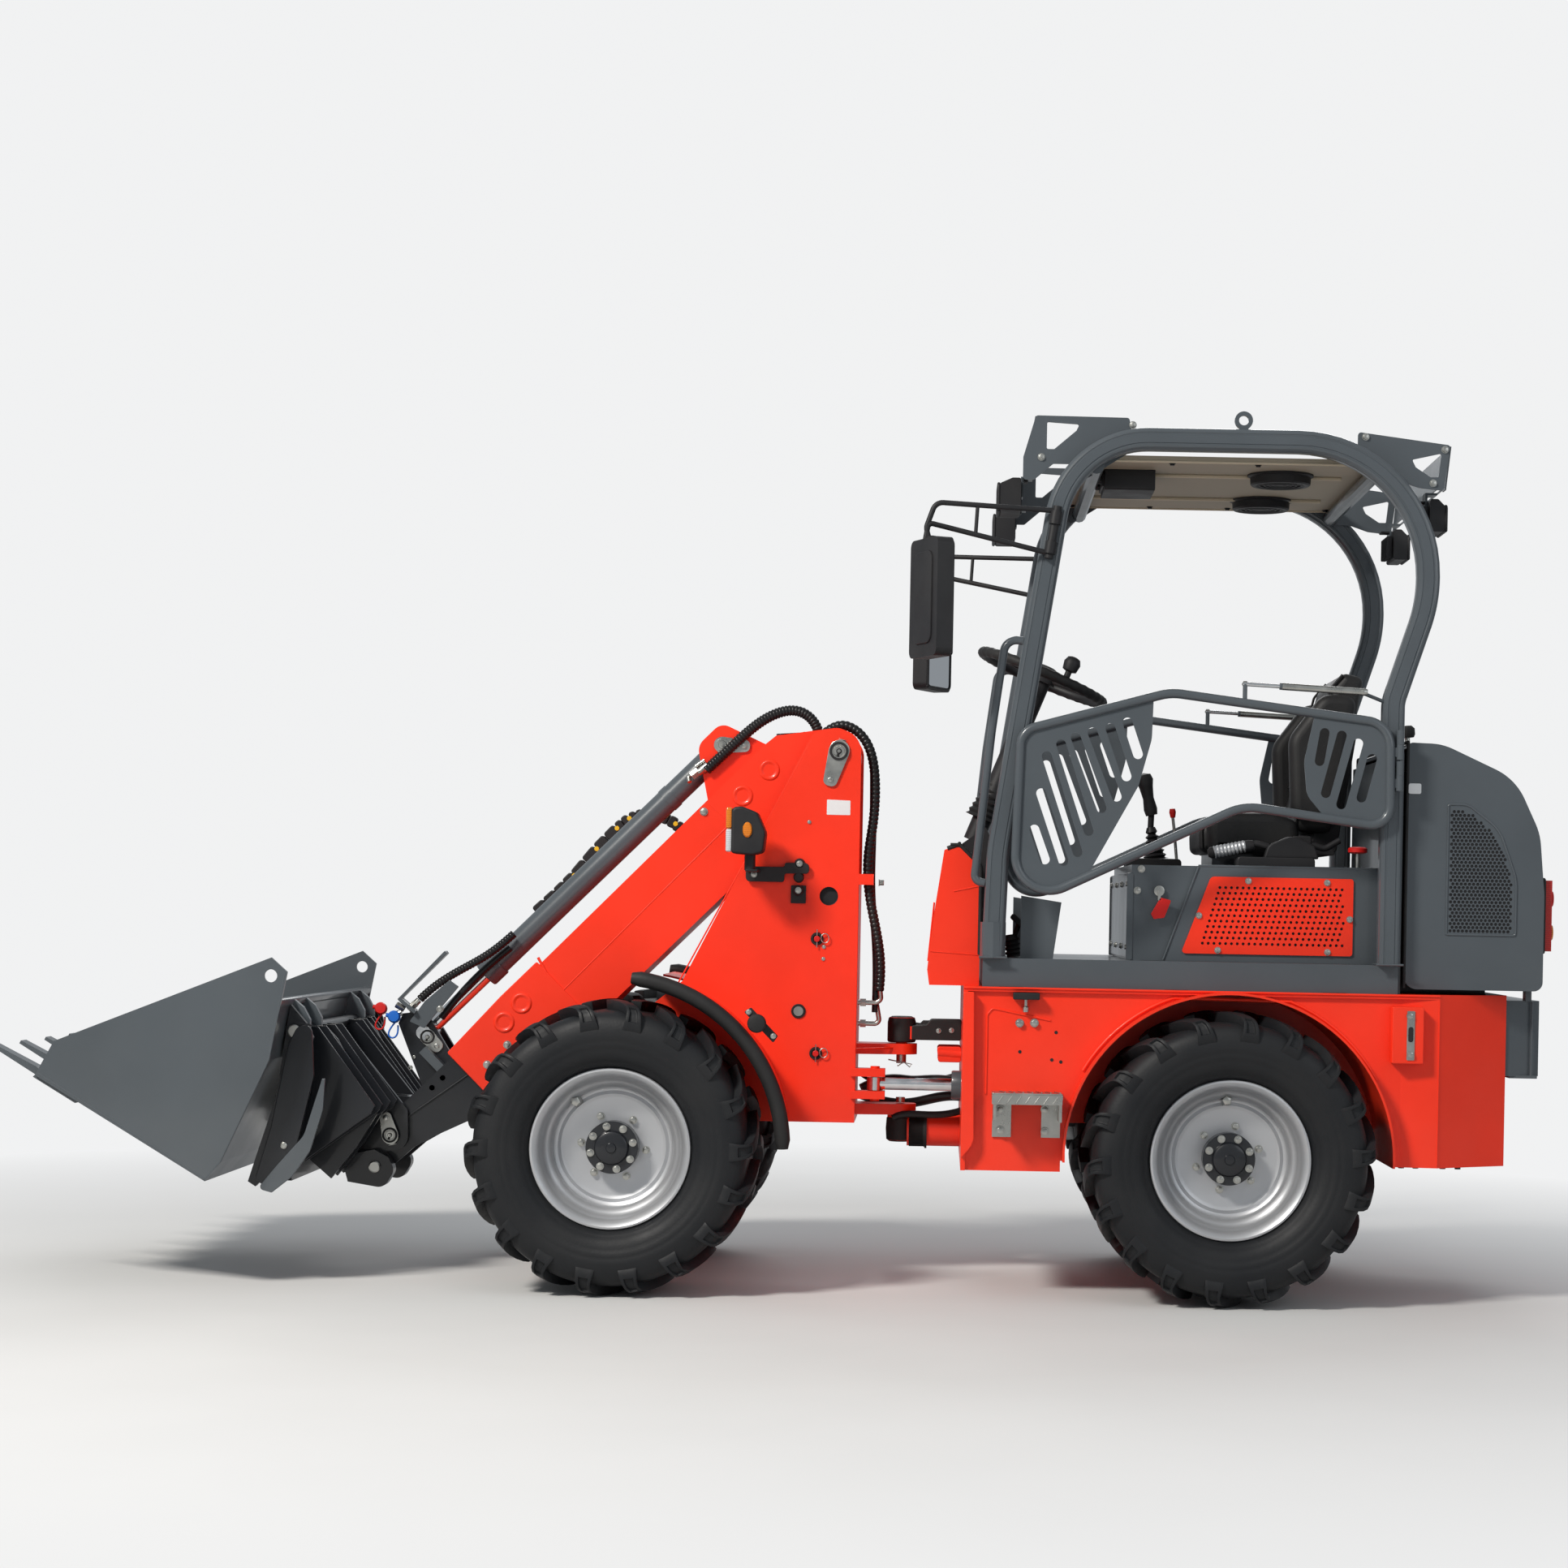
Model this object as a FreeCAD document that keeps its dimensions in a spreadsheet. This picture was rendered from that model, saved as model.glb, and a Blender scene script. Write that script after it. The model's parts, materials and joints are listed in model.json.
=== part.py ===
"""Compact articulated wheel loader with a telescopic boom, a tool carrier and a bucket.

Millimetres. The loader stands on the ground at Z = 0 and looks along -X, its left side is -Y.
Every place along X is counted from the vertical axis of the articulated joint, and the whole
loader is then shifted so that the middle of its length lies on X = 0.
"""
import FreeCAD, Part
import math
import os
import Sketcher

os.makedirs("parts", exist_ok=True)
doc = FreeCAD.newDocument("wheel_loader")
sheet = doc.addObject("Spreadsheet::Sheet", "sizes")
V = FreeCAD.Vector


class Size:
    """A size with its value and the text that binds it to the sheet."""

    def __init__(self, value, text):
        self.value = float(value)
        self.text = text

    def __add__(self, other):
        other = as_size(other)
        return Size(self.value + other.value, f"({self.text} + {other.text})")

    def __radd__(self, other):
        return as_size(other) + self

    def __sub__(self, other):
        other = as_size(other)
        return Size(self.value - other.value, f"({self.text} - {other.text})")

    def __rsub__(self, other):
        return as_size(other) - self

    def __mul__(self, other):
        other = as_size(other)
        return Size(self.value * other.value, f"({self.text} * {other.text})")

    def __rmul__(self, other):
        return as_size(other) * self

    def __truediv__(self, other):
        other = as_size(other)
        return Size(self.value / other.value, f"({self.text} / {other.text})")

    def __rtruediv__(self, other):
        return as_size(other) / self

    def __neg__(self):
        return Size(-self.value, f"(0 - {self.text})")


def as_size(number):
    return number if isinstance(number, Size) else Size(number, repr(float(number)))


def sine(angle):
    return Size(math.sin(math.radians(angle.value)), f"sin({angle.text})")


def cosine(angle):
    return Size(math.cos(math.radians(angle.value)), f"cos({angle.text})")


def root(number):
    return Size(math.sqrt(number.value), f"sqrt({number.text})")


def bearing(rise, run):
    """The angle in degrees of a line that rises by one size over the other."""
    return Size(math.degrees(math.atan2(rise.value, run.value)), f"atan2({rise.text}; {run.text})")


class Sizes:
    """The driving sizes, each one a cell of the sheet with its own alias."""

    def __init__(self):
        self.row = 0

    def add(self, **named):
        for name, value in named.items():
            self.row += 1
            sheet.set(f"A{self.row}", name)
            sheet.set(f"B{self.row}", repr(float(value)))
            sheet.setAlias(f"B{self.row}", name)
            setattr(self, name, Size(value, f"sizes.{name}"))


d = Sizes()
nodes = {}


def bind(thing, path, size):
    thing.setExpression(path, as_size(size).text)


class Piece:
    """One sub-part: a body that takes pads, pockets and turned features in order.

    Outlines are drawn on three planes: "side" holds X and Z, "top" X and Y, "front" Y and Z.
    A corner with a third number is rounded to that radius.
    """

    planes = {"side": "XZ_Plane", "top": "XY_Plane", "front": "YZ_Plane"}

    def __init__(self, name):
        self.name = name
        self.body = doc.addObject("PartDesign::Body", name)
        self.body.Label = name
        self.body.AllowCompound = True
        nodes[name] = self.body

    def sketch(self, plane, offset, loops, circles):
        made = self.body.newObject("Sketcher::SketchObject", self.name + "_outline")
        role = self.planes[plane]
        base = next(f for f in self.body.Origin.OriginFeatures if f.Role == role)
        made.AttachmentSupport = [(base, "")]
        made.MapMode = "FlatFace"
        made.AttachmentOffset = FreeCAD.Placement(V(0, 0, as_size(offset).value), FreeCAD.Rotation())
        bind(made, "AttachmentOffset.Base.z", offset)
        for loop in loops:
            draw_loop(made, loop)
        for circle in circles:
            draw_circle(made, circle)
        return made

    def feature(self, kind, plane, low, high, loops, circles):
        """Pads or pockets the space between two places along the plane's normal."""
        low, high = as_size(low), as_size(high)
        if kind == "Pad":
            offset = -high if plane == "side" else low
        else:
            offset = -low if plane == "side" else high
        made = self.body.newObject("PartDesign::" + kind, self.name + "_" + kind.lower())
        made.Profile = self.sketch(plane, offset, loops, circles)
        made.Length = (high - low).value
        bind(made, "Length", high - low)
        self.body.Tip = made
        return made

    def pad(self, plane, low, high, *loops, circles=()):
        return self.feature("Pad", plane, low, high, loops, circles)

    def cut(self, plane, low, high, *loops, circles=()):
        return self.feature("Pocket", plane, low, high, loops, circles)

    def both(self, kind, plane, low, high, *loops, circles=()):
        """The same feature on the left and on the right, at distances from the middle plane."""
        low, high = as_size(low), as_size(high)
        for near, far in ((low, high), (-high, -low)):
            self.feature(kind, plane, near, far, loops, circles)

    def turn(self, *loops, plane="side", kind="Revolution"):
        """A feature turned about the plane's level axis."""
        made = self.body.newObject("PartDesign::" + kind, self.name + "_turned")
        profile = self.sketch(plane, 0, loops, ())
        made.Profile = profile
        made.ReferenceAxis = (profile, ["H_Axis"])
        made.Angle = 360.0
        self.body.Tip = made
        return made

    def place(self, x=0, y=0, z=0, pitch=0):
        place(self.body, x, y, z, pitch)


def place(thing, x=0, y=0, z=0, pitch=0):
    """Moves a sub-part, turned about Y, and shifts it with the whole loader."""
    x, y, z, pitch = (as_size(n) for n in (x, y, z, pitch))
    thing.Placement = FreeCAD.Placement(V(0, 0, 0), FreeCAD.Rotation(V(0, 1, 0), pitch.value))
    bind(thing, "Placement.Base.x", x + shift)
    bind(thing, "Placement.Base.y", y)
    bind(thing, "Placement.Base.z", z)
    if pitch.text != "0.0":
        bind(thing, "Placement.Rotation.Angle", pitch)


def draw_loop(sketch, points):
    """Draws a closed outline through the points, each bound to its two sizes."""
    corners = []
    for point in points:
        x, y = as_size(point[0]), as_size(point[1])
        radius = as_size(point[2]) if len(point) > 2 else None
        corners.append((x, y, radius, V(x.value, y.value, 0)))
    count = len(corners)
    starts, ends, arcs = [None] * count, [None] * count, [None] * count
    for i, (x, y, radius, at) in enumerate(corners):
        starts[i] = ends[i] = at
        if radius is None:
            continue
        before = (corners[i - 1][3] - at).normalize()
        after = (corners[(i + 1) % count][3] - at).normalize()
        half = math.acos(max(-1, min(1, before.dot(after)))) / 2
        reach = radius.value / math.tan(half)
        ends[i], starts[i] = at + before * reach, at + after * reach
        middle = at + (before + after).normalize() * (radius.value / math.sin(half))
        first = math.atan2(ends[i].y - middle.y, ends[i].x - middle.x)
        last = math.atan2(starts[i].y - middle.y, starts[i].x - middle.x)
        left_turn = after.cross(before).z > 0
        if not left_turn:
            first, last = last, first
        circle = Part.Circle(middle, V(0, 0, 1), radius.value)
        arcs[i] = (Part.ArcOfCircle(circle, first, last), left_turn)
    first_line = sketch.GeometryCount
    for i in range(count):
        sketch.addGeometry(Part.LineSegment(starts[i], ends[(i + 1) % count]), False)
    rules, bound = [], []
    for i, (x, y, radius, at) in enumerate(corners):
        line, last_line = first_line + i, first_line + (i - 1) % count
        if radius is None:
            rules.append(Sketcher.Constraint("Coincident", last_line, 2, line, 1))
            holder, spot = line, 1
        else:
            arc_shape, left_turn = arcs[i]
            arc = sketch.addGeometry(arc_shape, False)
            enter, leave = (1, 2) if left_turn else (2, 1)
            rules.append(Sketcher.Constraint("Tangent", last_line, 2, arc, enter))
            rules.append(Sketcher.Constraint("Tangent", arc, leave, line, 1))
            bound.append((len(rules), radius))
            rules.append(Sketcher.Constraint("Radius", arc, radius.value))
            holder, spot = sketch.addGeometry(Part.Point(at), True), 1
            rules.append(Sketcher.Constraint("PointOnObject", holder, 1, last_line))
            rules.append(Sketcher.Constraint("PointOnObject", holder, 1, line))
        bound.append((len(rules), x))
        rules.append(Sketcher.Constraint("DistanceX", -1, 1, holder, spot, x.value))
        bound.append((len(rules), y))
        rules.append(Sketcher.Constraint("DistanceY", -1, 1, holder, spot, y.value))
    fix(sketch, rules, bound)


def draw_circle(sketch, circle):
    x, y, radius = (as_size(n) for n in circle)
    ring = sketch.addGeometry(Part.Circle(V(x.value, y.value, 0), V(0, 0, 1), radius.value), False)
    rules = [
        Sketcher.Constraint("DistanceX", -1, 1, ring, 3, x.value),
        Sketcher.Constraint("DistanceY", -1, 1, ring, 3, y.value),
        Sketcher.Constraint("Radius", ring, radius.value),
    ]
    fix(sketch, rules, [(0, x), (1, y), (2, radius)])


def fix(sketch, rules, bound):
    first = sketch.ConstraintCount
    sketch.addConstraint(rules)
    for index, size in bound:
        if size.text.startswith("(") or size.text.startswith("sizes"):
            sketch.setExpression(f"Constraints[{first + index}]", size.text)


def box(x0, y0, x1, y1):
    return [(x0, y0), (x1, y0), (x1, y1), (x0, y1)]


def smooth_path(points, bend, closed=False):
    """A wire of straight runs joined by tangent arcs. A fourth number is that corner's own bend."""
    corners = [V(*(as_size(n).value for n in point[:3])) for point in points]
    bends = [as_size(point[3] if len(point) > 3 else bend).value for point in points]
    count = len(corners)
    edges, first, start = [], corners[-1], corners[0]
    for i in range(count) if closed else range(1, count - 1):
        before = (corners[i - 1] - corners[i]).normalize()
        after = (corners[(i + 1) % count] - corners[i]).normalize()
        half = before.getAngle(after) / 2
        reach = bends[i] / math.tan(half)
        enter, leave = corners[i] + before * reach, corners[i] + after * reach
        middle = corners[i] + (before + after).normalize() * (bends[i] / math.sin(half) - bends[i])
        if closed and i == 0:
            first = enter
        else:
            edges.append(Part.LineSegment(start, enter).toShape())
        edges.append(Part.Arc(enter, middle, leave).toShape())
        start = leave
    edges.append(Part.LineSegment(start, first).toShape())
    return Part.Wire(edges)


def rounded_plate(outline, y, thickness):
    """A plate that stands along X and Z with rounded corners; each corner is X, Z and its bend."""
    low, thickness = as_size(y).value, as_size(thickness).value
    edge = smooth_path([(x, low, z, bend) for x, z, bend in outline], 0, closed=True)
    return Part.Face(edge).extrude(V(0, thickness, 0))


def slot_tool(x0, z0, x1, z1, width, y, depth):
    """A body with round ends that cuts a slot between two places through a standing plate."""
    start, end, half = V(x0, y, z0), V(x1, y, z1), width / 2
    along = (end - start).normalize() * half
    across = V(-along.z, 0, along.x)
    edge = Part.Wire([
        Part.LineSegment(start + across, end + across).toShape(),
        Part.Arc(end + across, end + along, end - across).toShape(),
        Part.LineSegment(end - across, start - across).toShape(),
        Part.Arc(start - across, start - along, start + across).toShape(),
    ])
    return Part.Face(edge).extrude(V(0, depth, 0))


def bent_tube(points, radius, bend):
    """A round bar bent through the points."""
    path = smooth_path(points, bend)
    first = path.Edges[0]
    ahead = first.tangentAt(first.FirstParameter)
    ring = Part.Wire([Part.Circle(path.Vertexes[0].Point, ahead, as_size(radius).value).toShape()])
    return path.makePipeShell([ring], True, False)


def straight_bar(start, end, radius):
    start, end = V(*(as_size(n).value for n in start)), V(*(as_size(n).value for n in end))
    return Part.makeCylinder(as_size(radius).value, (end - start).Length, start, end - start)


def made_of(name, shapes, shift_now=True):
    """A sub-part of bent tubes and bars, joined where they meet."""
    whole = shapes[0]
    if len(shapes) > 1:
        whole = shapes[0].multiFuse(shapes[1:]).removeSplitter()
    thing = doc.addObject("Part::Feature", name)
    thing.Shape = whole
    thing.Label = name
    nodes[name] = thing
    if shift_now:
        place(thing)
    return thing


def mirrored_pair(shapes):
    """The shapes of the left side and their mirror images on the right side."""
    return shapes + [s.mirror(V(0, 0, 0), V(0, 1, 0)) for s in shapes]


# Overall reach from the joint's axis, to the tips of the teeth and to the tail lamps
d.add(reach_front=2380, reach_rear=1732, slack=0.3, rod_slack=0.4)
shift = (d.reach_front - d.reach_rear) / 2

# Wheels: wide tractor tyres on drop-centre rims
d.add(
    tyre_radius=388, tyre_half=197, track_half=453, axle_front=750, axle_rear=874,
    tyre_wide=300, tyre_shoulder=174, shoulder_drop=6, bead_inset=20, tyre_sides=24,
    lug_height=28, lug_width=36, lug_lead=50, lug_overlap=8, lug_skirt=40, lug_count=18,
    rim_seat=192, rim_lip=212, rim_half=158, rim_wall=8, disc_radius=150, disc_place=52,
    disc_plate=12, hub_radius=68, hub_reach=112, drop_radius=165,
)
carcass_radius = d.tyre_radius - d.lug_height


def ring_of_flats(profile, sides):
    """A closed ring with flat sides: the profile holds places along the axle and radii."""
    rings = []
    for along, radius in profile:
        along, radius = as_size(along).value, as_size(radius).value
        turns = [math.radians(i * 360 / sides) for i in range(sides)]
        rings.append([V(radius * math.sin(a), along, radius * math.cos(a)) for a in turns])
    faces = []
    for k, ring in enumerate(rings):
        beside = rings[(k + 1) % len(rings)]
        for i in range(sides):
            j = (i + 1) % sides
            corners = [ring[i], ring[j], beside[j], beside[i], ring[i]]
            faces.append(Part.Face(Part.makePolygon(corners)))
    ring = Part.Solid(Part.makeShell(faces))
    if ring.Volume < 0:
        ring.reverse()
    return ring


def with_mirror(half):
    return half + [(-along, radius) for along, radius in reversed(half)]


def tyre_shape():
    """A carcass with slanting bars, every second one from the other shoulder."""
    sides = int(d.tyre_sides.value)
    carcass = ring_of_flats(with_mirror([
        (d.rim_half - d.bead_inset, (d.rim_seat + d.slack) / cosine(180 / d.tyre_sides)),
        (d.tyre_half, d.tyre_wide),
        (d.tyre_shoulder, carcass_radius - d.shoulder_drop),
    ]), sides)
    reach = ring_of_flats(with_mirror([
        (d.tyre_half - 1, carcass_radius - 120),
        (d.tyre_half - 1, carcass_radius - d.lug_skirt),
        (d.tyre_shoulder, d.tyre_radius),
    ]), sides)
    bars = []
    count = int(d.lug_count.value)
    for side in (1, -1):
        outline = [
            (-d.lug_lead, side * (d.tyre_half + 5)),
            (-d.lug_lead + d.lug_width, side * (d.tyre_half + 5)),
            (d.lug_lead + d.lug_width / 3, side * d.lug_overlap),
            (d.lug_lead - d.lug_width / 3, -side * d.lug_overlap),
        ]
        floor = (carcass_radius - d.lug_height).value
        corners = [V(as_size(x).value, as_size(y).value, floor) for x, y in outline]
        bar = Part.Face(Part.makePolygon(corners + [corners[0]]))
        bar = bar.extrude(V(0, 0, 3 * d.lug_height.value)).common(reach)
        for i in range(count):
            copy = bar.copy()
            half_step = 0.5 if side < 0 else 0
            copy.rotate(V(0, 0, 0), V(0, 1, 0), (i + half_step) * 360 / count)
            bars.append(copy)
    return carcass.multiFuse(bars).removeSplitter()


rim = Piece("rim_front_left")
seat_in = d.rim_seat - d.rim_wall
drop_in = d.drop_radius - d.rim_wall
# Distances here run outwards from the wheel's middle plane
wheel_profile = [
    (d.rim_half, d.rim_lip),
    (d.rim_half, d.rim_lip - 6),
    (d.rim_half - 8, seat_in),
    (104, seat_in),
    (86, drop_in),
    (d.disc_place + d.disc_plate, d.disc_radius),
    (d.disc_place + d.disc_plate, d.hub_radius),
    (d.hub_reach, d.hub_radius),
    (d.hub_reach, 0),
    (d.disc_place, 0),
    (d.disc_place, d.disc_radius - 4),
    (d.disc_place, drop_in),
    (-86, drop_in),
    (-104, seat_in),
    (-d.rim_half + 8, seat_in),
    (-d.rim_half, d.rim_lip - 6),
    (-d.rim_half, d.rim_lip),
    (-d.rim_half + 6, d.rim_lip),
    (-d.rim_half + 11, d.rim_seat),
    (-108, d.rim_seat),
    (-90, d.drop_radius),
    (90, d.drop_radius),
    (108, d.rim_seat),
    (d.rim_half - 11, d.rim_seat),
    (d.rim_half - 6, d.rim_lip),
]
rim.turn([(-p[0], p[1]) for p in wheel_profile], plane="front")

doc.recompute()


def wheel_part(kind, shape, corner, axle, side):
    """The same wheel on every corner, mirrored on the right so that its tread leads forward."""
    name = f"{kind}_{corner}"
    shape = shape.copy()
    shape.Placement = FreeCAD.Placement()
    if side > 0:
        shape = shape.mirror(V(0, 0, 0), V(0, 1, 0))
    thing = doc.addObject("Part::Feature", name)
    thing.Shape = shape
    thing.Label = name
    nodes[name] = thing
    place(thing, axle, side * d.track_half, d.tyre_radius)


rim_shape = rim.body.Shape
tyre_solid = tyre_shape()
for corner, axle, side in (
    ("front_left", -d.axle_front, -1), ("front_right", -d.axle_front, 1),
    ("rear_left", d.axle_rear, -1), ("rear_right", d.axle_rear, 1),
):
    wheel_part("tyre", tyre_solid, corner, axle, side)
    if corner != "front_left":
        wheel_part("rim", rim_shape, corner, axle, side)
rim.place(-d.axle_front, -d.track_half, d.tyre_radius)

# Axles: a beam with a drive housing in the middle and hub carriers that end inside the rims
d.add(
    axle_tube=48, axle_housing=92, axle_housing_half=110, carrier_radius=95, carrier_width=34,
    saddle_half=50, saddle_inner=150, rail_outer=217, rail_bottom=452,
)
carrier_end = d.track_half + d.disc_place - 0.6
for name, place_x in (("front_axle", -d.axle_front), ("rear_axle", d.axle_rear)):
    axle_beam = Piece(name)
    axle_beam.turn([
        (-carrier_end, 0), (-carrier_end, d.carrier_radius),
        (-carrier_end + d.carrier_width, d.carrier_radius), (-carrier_end + d.carrier_width, 70),
        (-carrier_end + 110, d.axle_tube), (-d.axle_housing_half, d.axle_tube),
        (-d.axle_housing_half + 30, d.axle_housing), (d.axle_housing_half - 30, d.axle_housing),
        (d.axle_housing_half, d.axle_tube), (carrier_end - 110, d.axle_tube),
        (carrier_end - d.carrier_width, 70), (carrier_end - d.carrier_width, d.carrier_radius),
        (carrier_end, d.carrier_radius), (carrier_end, 0),
    ], plane="front")
    top = d.rail_bottom - d.tyre_radius
    axle_beam.both("Pad", "side", d.saddle_inner - 20, d.rail_outer,
                   box(-d.saddle_half, 0, d.saddle_half, top))
    axle_beam.place(place_x, 0, d.tyre_radius)

# Rear frame: folded red plate with side walls, arches, a heavy tail and the rear half of the joint
d.add(
    frame_front=168, frame_rear=1627, frame_half=520, wall_recess=12, wall_plate=8, bevel_start=1428,
    tail_half=400, tail_front=1330, deck_top=829, deck_plate=12, belly=342, tail_belly=371,
    arch_radius=432, arch_plate=6, arch_half=560, bulkhead=12, rail_plate=12,
    joint_housing=36, pin_radius=16, upper_lug=637, lower_lug=468, lug_plate=30, joint_gap=3,
    arm_height=36, arm_half=32, steer_side=138, steer_height=545, steer_window_half=80, steer_window_rise=46,
)
rear = Piece("rear_frame")
deck_low = d.deck_top - d.deck_plate
wall_outer = d.frame_half - d.wall_recess
rear.pad("top", deck_low, d.deck_top, [
    (d.frame_front, -d.frame_half), (d.bevel_start, -d.frame_half), (d.frame_rear, -d.tail_half),
    (d.frame_rear, d.tail_half), (d.bevel_start, d.frame_half), (d.frame_front, d.frame_half),
])
rear.pad("front", d.frame_front, d.frame_front + d.bulkhead,
         box(-d.frame_half, d.belly, d.frame_half, deck_low))
rear.pad("top", d.belly, d.belly + d.bulkhead,
         box(d.frame_front, -wall_outer, d.axle_rear - d.arch_radius, wall_outer))
rear.both("Pad", "side", wall_outer - d.wall_plate, wall_outer, [
    (d.frame_front, d.belly), (d.axle_rear, d.belly), (d.axle_rear, d.tail_belly),
    (d.bevel_start, d.tail_belly), (d.bevel_start, deck_low), (d.frame_front, deck_low),
])
rear.pad("top", d.tail_belly, deck_low, [
    (d.tail_front, -wall_outer), (d.bevel_start, -d.frame_half), (d.frame_rear, -d.tail_half),
    (d.frame_rear, d.tail_half), (d.bevel_start, d.frame_half), (d.tail_front, wall_outer),
])
wheel_spot = (d.axle_rear, d.tyre_radius)
rear.both("Pad", "side", d.rail_outer, d.arch_half, circles=[(*wheel_spot, d.arch_radius + d.arch_plate)])
rear.both("Pocket", "side", d.rail_outer, d.arch_half + 5, circles=[(*wheel_spot, d.arch_radius)])
rear.both("Pocket", "side", d.rail_outer, d.arch_half + 5, box(
    d.axle_rear - d.arch_radius - 10, -60, d.axle_rear + d.arch_radius + 10, d.tail_belly))
rear.both("Pad", "side", d.rail_outer - d.rail_plate, d.rail_outer,
          box(d.frame_front, d.rail_bottom, d.tail_front, deck_low))
# The steering cylinder passes through a window on the left of the bulkhead
rear.cut("front", d.frame_front - 1, d.frame_front + d.bulkhead + 1, box(
    -d.steer_side - d.steer_window_half, d.steer_height - d.steer_window_rise,
    -d.steer_side + d.steer_window_half, d.steer_height + d.steer_window_rise))
# Two arms reach forward to the joint's axis, over and under the lugs of the front frame
arm_low = d.upper_lug + d.lug_plate / 2 + d.joint_gap
rear.pad("top", arm_low + 10, arm_low + 10 + d.arm_height, box(0, -d.arm_half, d.frame_front, d.arm_half))
rear.pad("top", arm_low, arm_low + 70, circles=[(0, 0, d.joint_housing)])
rear.cut("top", arm_low - 1, arm_low + 60, circles=[(0, 0, d.pin_radius + d.slack)])
d.add(lower_tube=45, housing_height=70)
lower_top = d.lower_lug - d.lug_plate / 2 - d.joint_gap
rear.pad("front", 20, d.frame_front, circles=[(0, lower_top - d.housing_height / 2 - 6, d.lower_tube)])
rear.cut("top", lower_top, lower_top + 30, box(-80, -80, 150, 80))
rear.pad("top", lower_top - d.housing_height, lower_top, circles=[(0, 0, d.joint_housing)])
rear.cut("top", lower_top - 60, lower_top + 1, circles=[(0, 0, d.pin_radius + d.slack)])
# Two cross plates between the rails hold the steering cylinder's pin
d.add(steer_pivot_x=500, steer_pin=13, steer_eye_half=28)
for low, high in ((-62, -46), (46, 62)):
    rear.pad("top", d.steer_height + low, d.steer_height + high,
             box(d.steer_pivot_x - 40, -d.rail_outer + d.rail_plate, d.steer_pivot_x + 40,
                 d.rail_outer - d.rail_plate))
rear.cut("top", d.steer_height - 65, d.steer_height + 65,
         circles=[(d.steer_pivot_x, -d.steer_side, d.steer_pin + d.slack)])
rear.place()

# Engine: one plain block on the deck under the covers
d.add(engine_front=1345, engine_rear=1600, engine_half=230, engine_top=1225)
engine = Piece("engine_block")
engine.pad("top", d.deck_top, d.engine_top,
           box(d.engine_front, -d.engine_half, d.engine_rear, d.engine_half))
engine.place()

# Tail: a dark folded block behind the frame and a thin plate under it
d.add(block_rear=1722, block_low=612, block_top=815, block_half=395, under_plate=14)
tail = Piece("tail_block")
tail.pad("top", d.block_low, d.block_top, [
    (d.frame_rear, -d.block_half), (d.block_rear, -d.block_half + 30), (d.block_rear, d.block_half - 30),
    (d.frame_rear, d.block_half)])
tail.pad("top", d.tail_belly - d.under_plate, d.tail_belly,
         box(d.tail_front + 20, -300, d.bevel_start + 100, 300))
# A pair of knuckles for the bonnet's hinge stand on the block
d.add(hood_hinge_x=1690, hood_hinge_z=852)
tail.both("Pad", "side", 340, 380, box(d.hood_hinge_x - 8, d.block_top - 1, d.hood_hinge_x + 8, d.hood_hinge_z))
tail.both("Pad", "side", 340, 380, circles=[(d.hood_hinge_x, d.hood_hinge_z, 8)])
tail.place()

# Platform: grey sill beams along both sides and the floor between them
d.add(sill_front=217, sill_rear=1319, sill_half=500, sill_width=70, sill_top=905, floor_rear=640,
      floor_plate=10)
platform = Piece("platform")
platform.both("Pad", "side", d.sill_half - d.sill_width, d.sill_half,
              box(d.sill_front, d.deck_top, d.sill_rear, d.sill_top))
platform.pad("top", d.sill_top - d.floor_plate, d.sill_top,
             box(d.sill_front, -d.sill_half + d.sill_width, d.floor_rear, d.sill_half - d.sill_width))
platform.pad("front", d.sill_front, d.sill_front + 20,
             box(-d.sill_half + d.sill_width, d.deck_top, d.sill_half - d.sill_width,
                 d.sill_top - d.floor_plate))
platform.both("Pad", "side", d.sill_half - d.sill_width - 8, d.sill_half - d.sill_width, [
    (318, d.sill_top - 20), (318, 1072), (426, 1056), (403, d.sill_top - 20)])
platform.place()

# Engine covers: the grey seat box, open behind and below, and a slanting cover on each side
d.add(box_front=614, box_rear=1290, box_half=402, box_top=1161, box_plate=8, cover_low_front=700,
      cover_top_front=792, cover_plate=10, panel_edge=44)
covers = Piece("engine_covers")
covers.pad("top", d.box_top - d.box_plate, d.box_top,
           box(d.box_front, -d.box_half, d.box_rear, d.box_half))
covers.pad("front", d.box_front, d.box_front + d.box_plate,
           box(-d.box_half, d.sill_top, d.box_half, d.box_top - d.box_plate))
covers.both("Pad", "side", d.box_half - d.box_plate, d.box_half,
            box(d.box_front, d.sill_top, d.box_rear, d.box_top - d.box_plate))
covers.both("Pad", "side", d.box_half, d.box_half + d.cover_plate, [
    (d.cover_low_front, d.sill_top), (d.box_rear, d.sill_top), (d.box_rear, d.box_top),
    (d.cover_top_front, d.box_top)])
covers.pad("front", 1323, 1330, box(-468, d.deck_top, 468, 1470))
covers.place()

d.add(panel_low=926, panel_top=1133, panel_front_low=749, panel_front_top=826, panel_rear=1208,
      panel_plate=6)
panels = Piece("side_panels")
panel_in = d.box_half + d.cover_plate
panels.both("Pad", "side", panel_in, panel_in + d.panel_plate, [
    (d.panel_front_low, d.panel_low), (d.panel_rear, d.panel_low), (d.panel_rear, d.panel_top),
    (d.panel_front_top, d.panel_top)])
panels.place()

# Roll-over frame: one bent bar on each side with cross bars that carry the roof
d.add(rops_side=500, rops_bar=30, leg_foot=243, leg_knee_x=252, leg_knee_z=1185, roof_front=422,
      roof_height=2287, roof_bend=245, bulge_rear=1378, bulge_bend=350, bulge_height=1868,
      neck_height=1604, neck_rear=1292, neck_bend=110)


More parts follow.
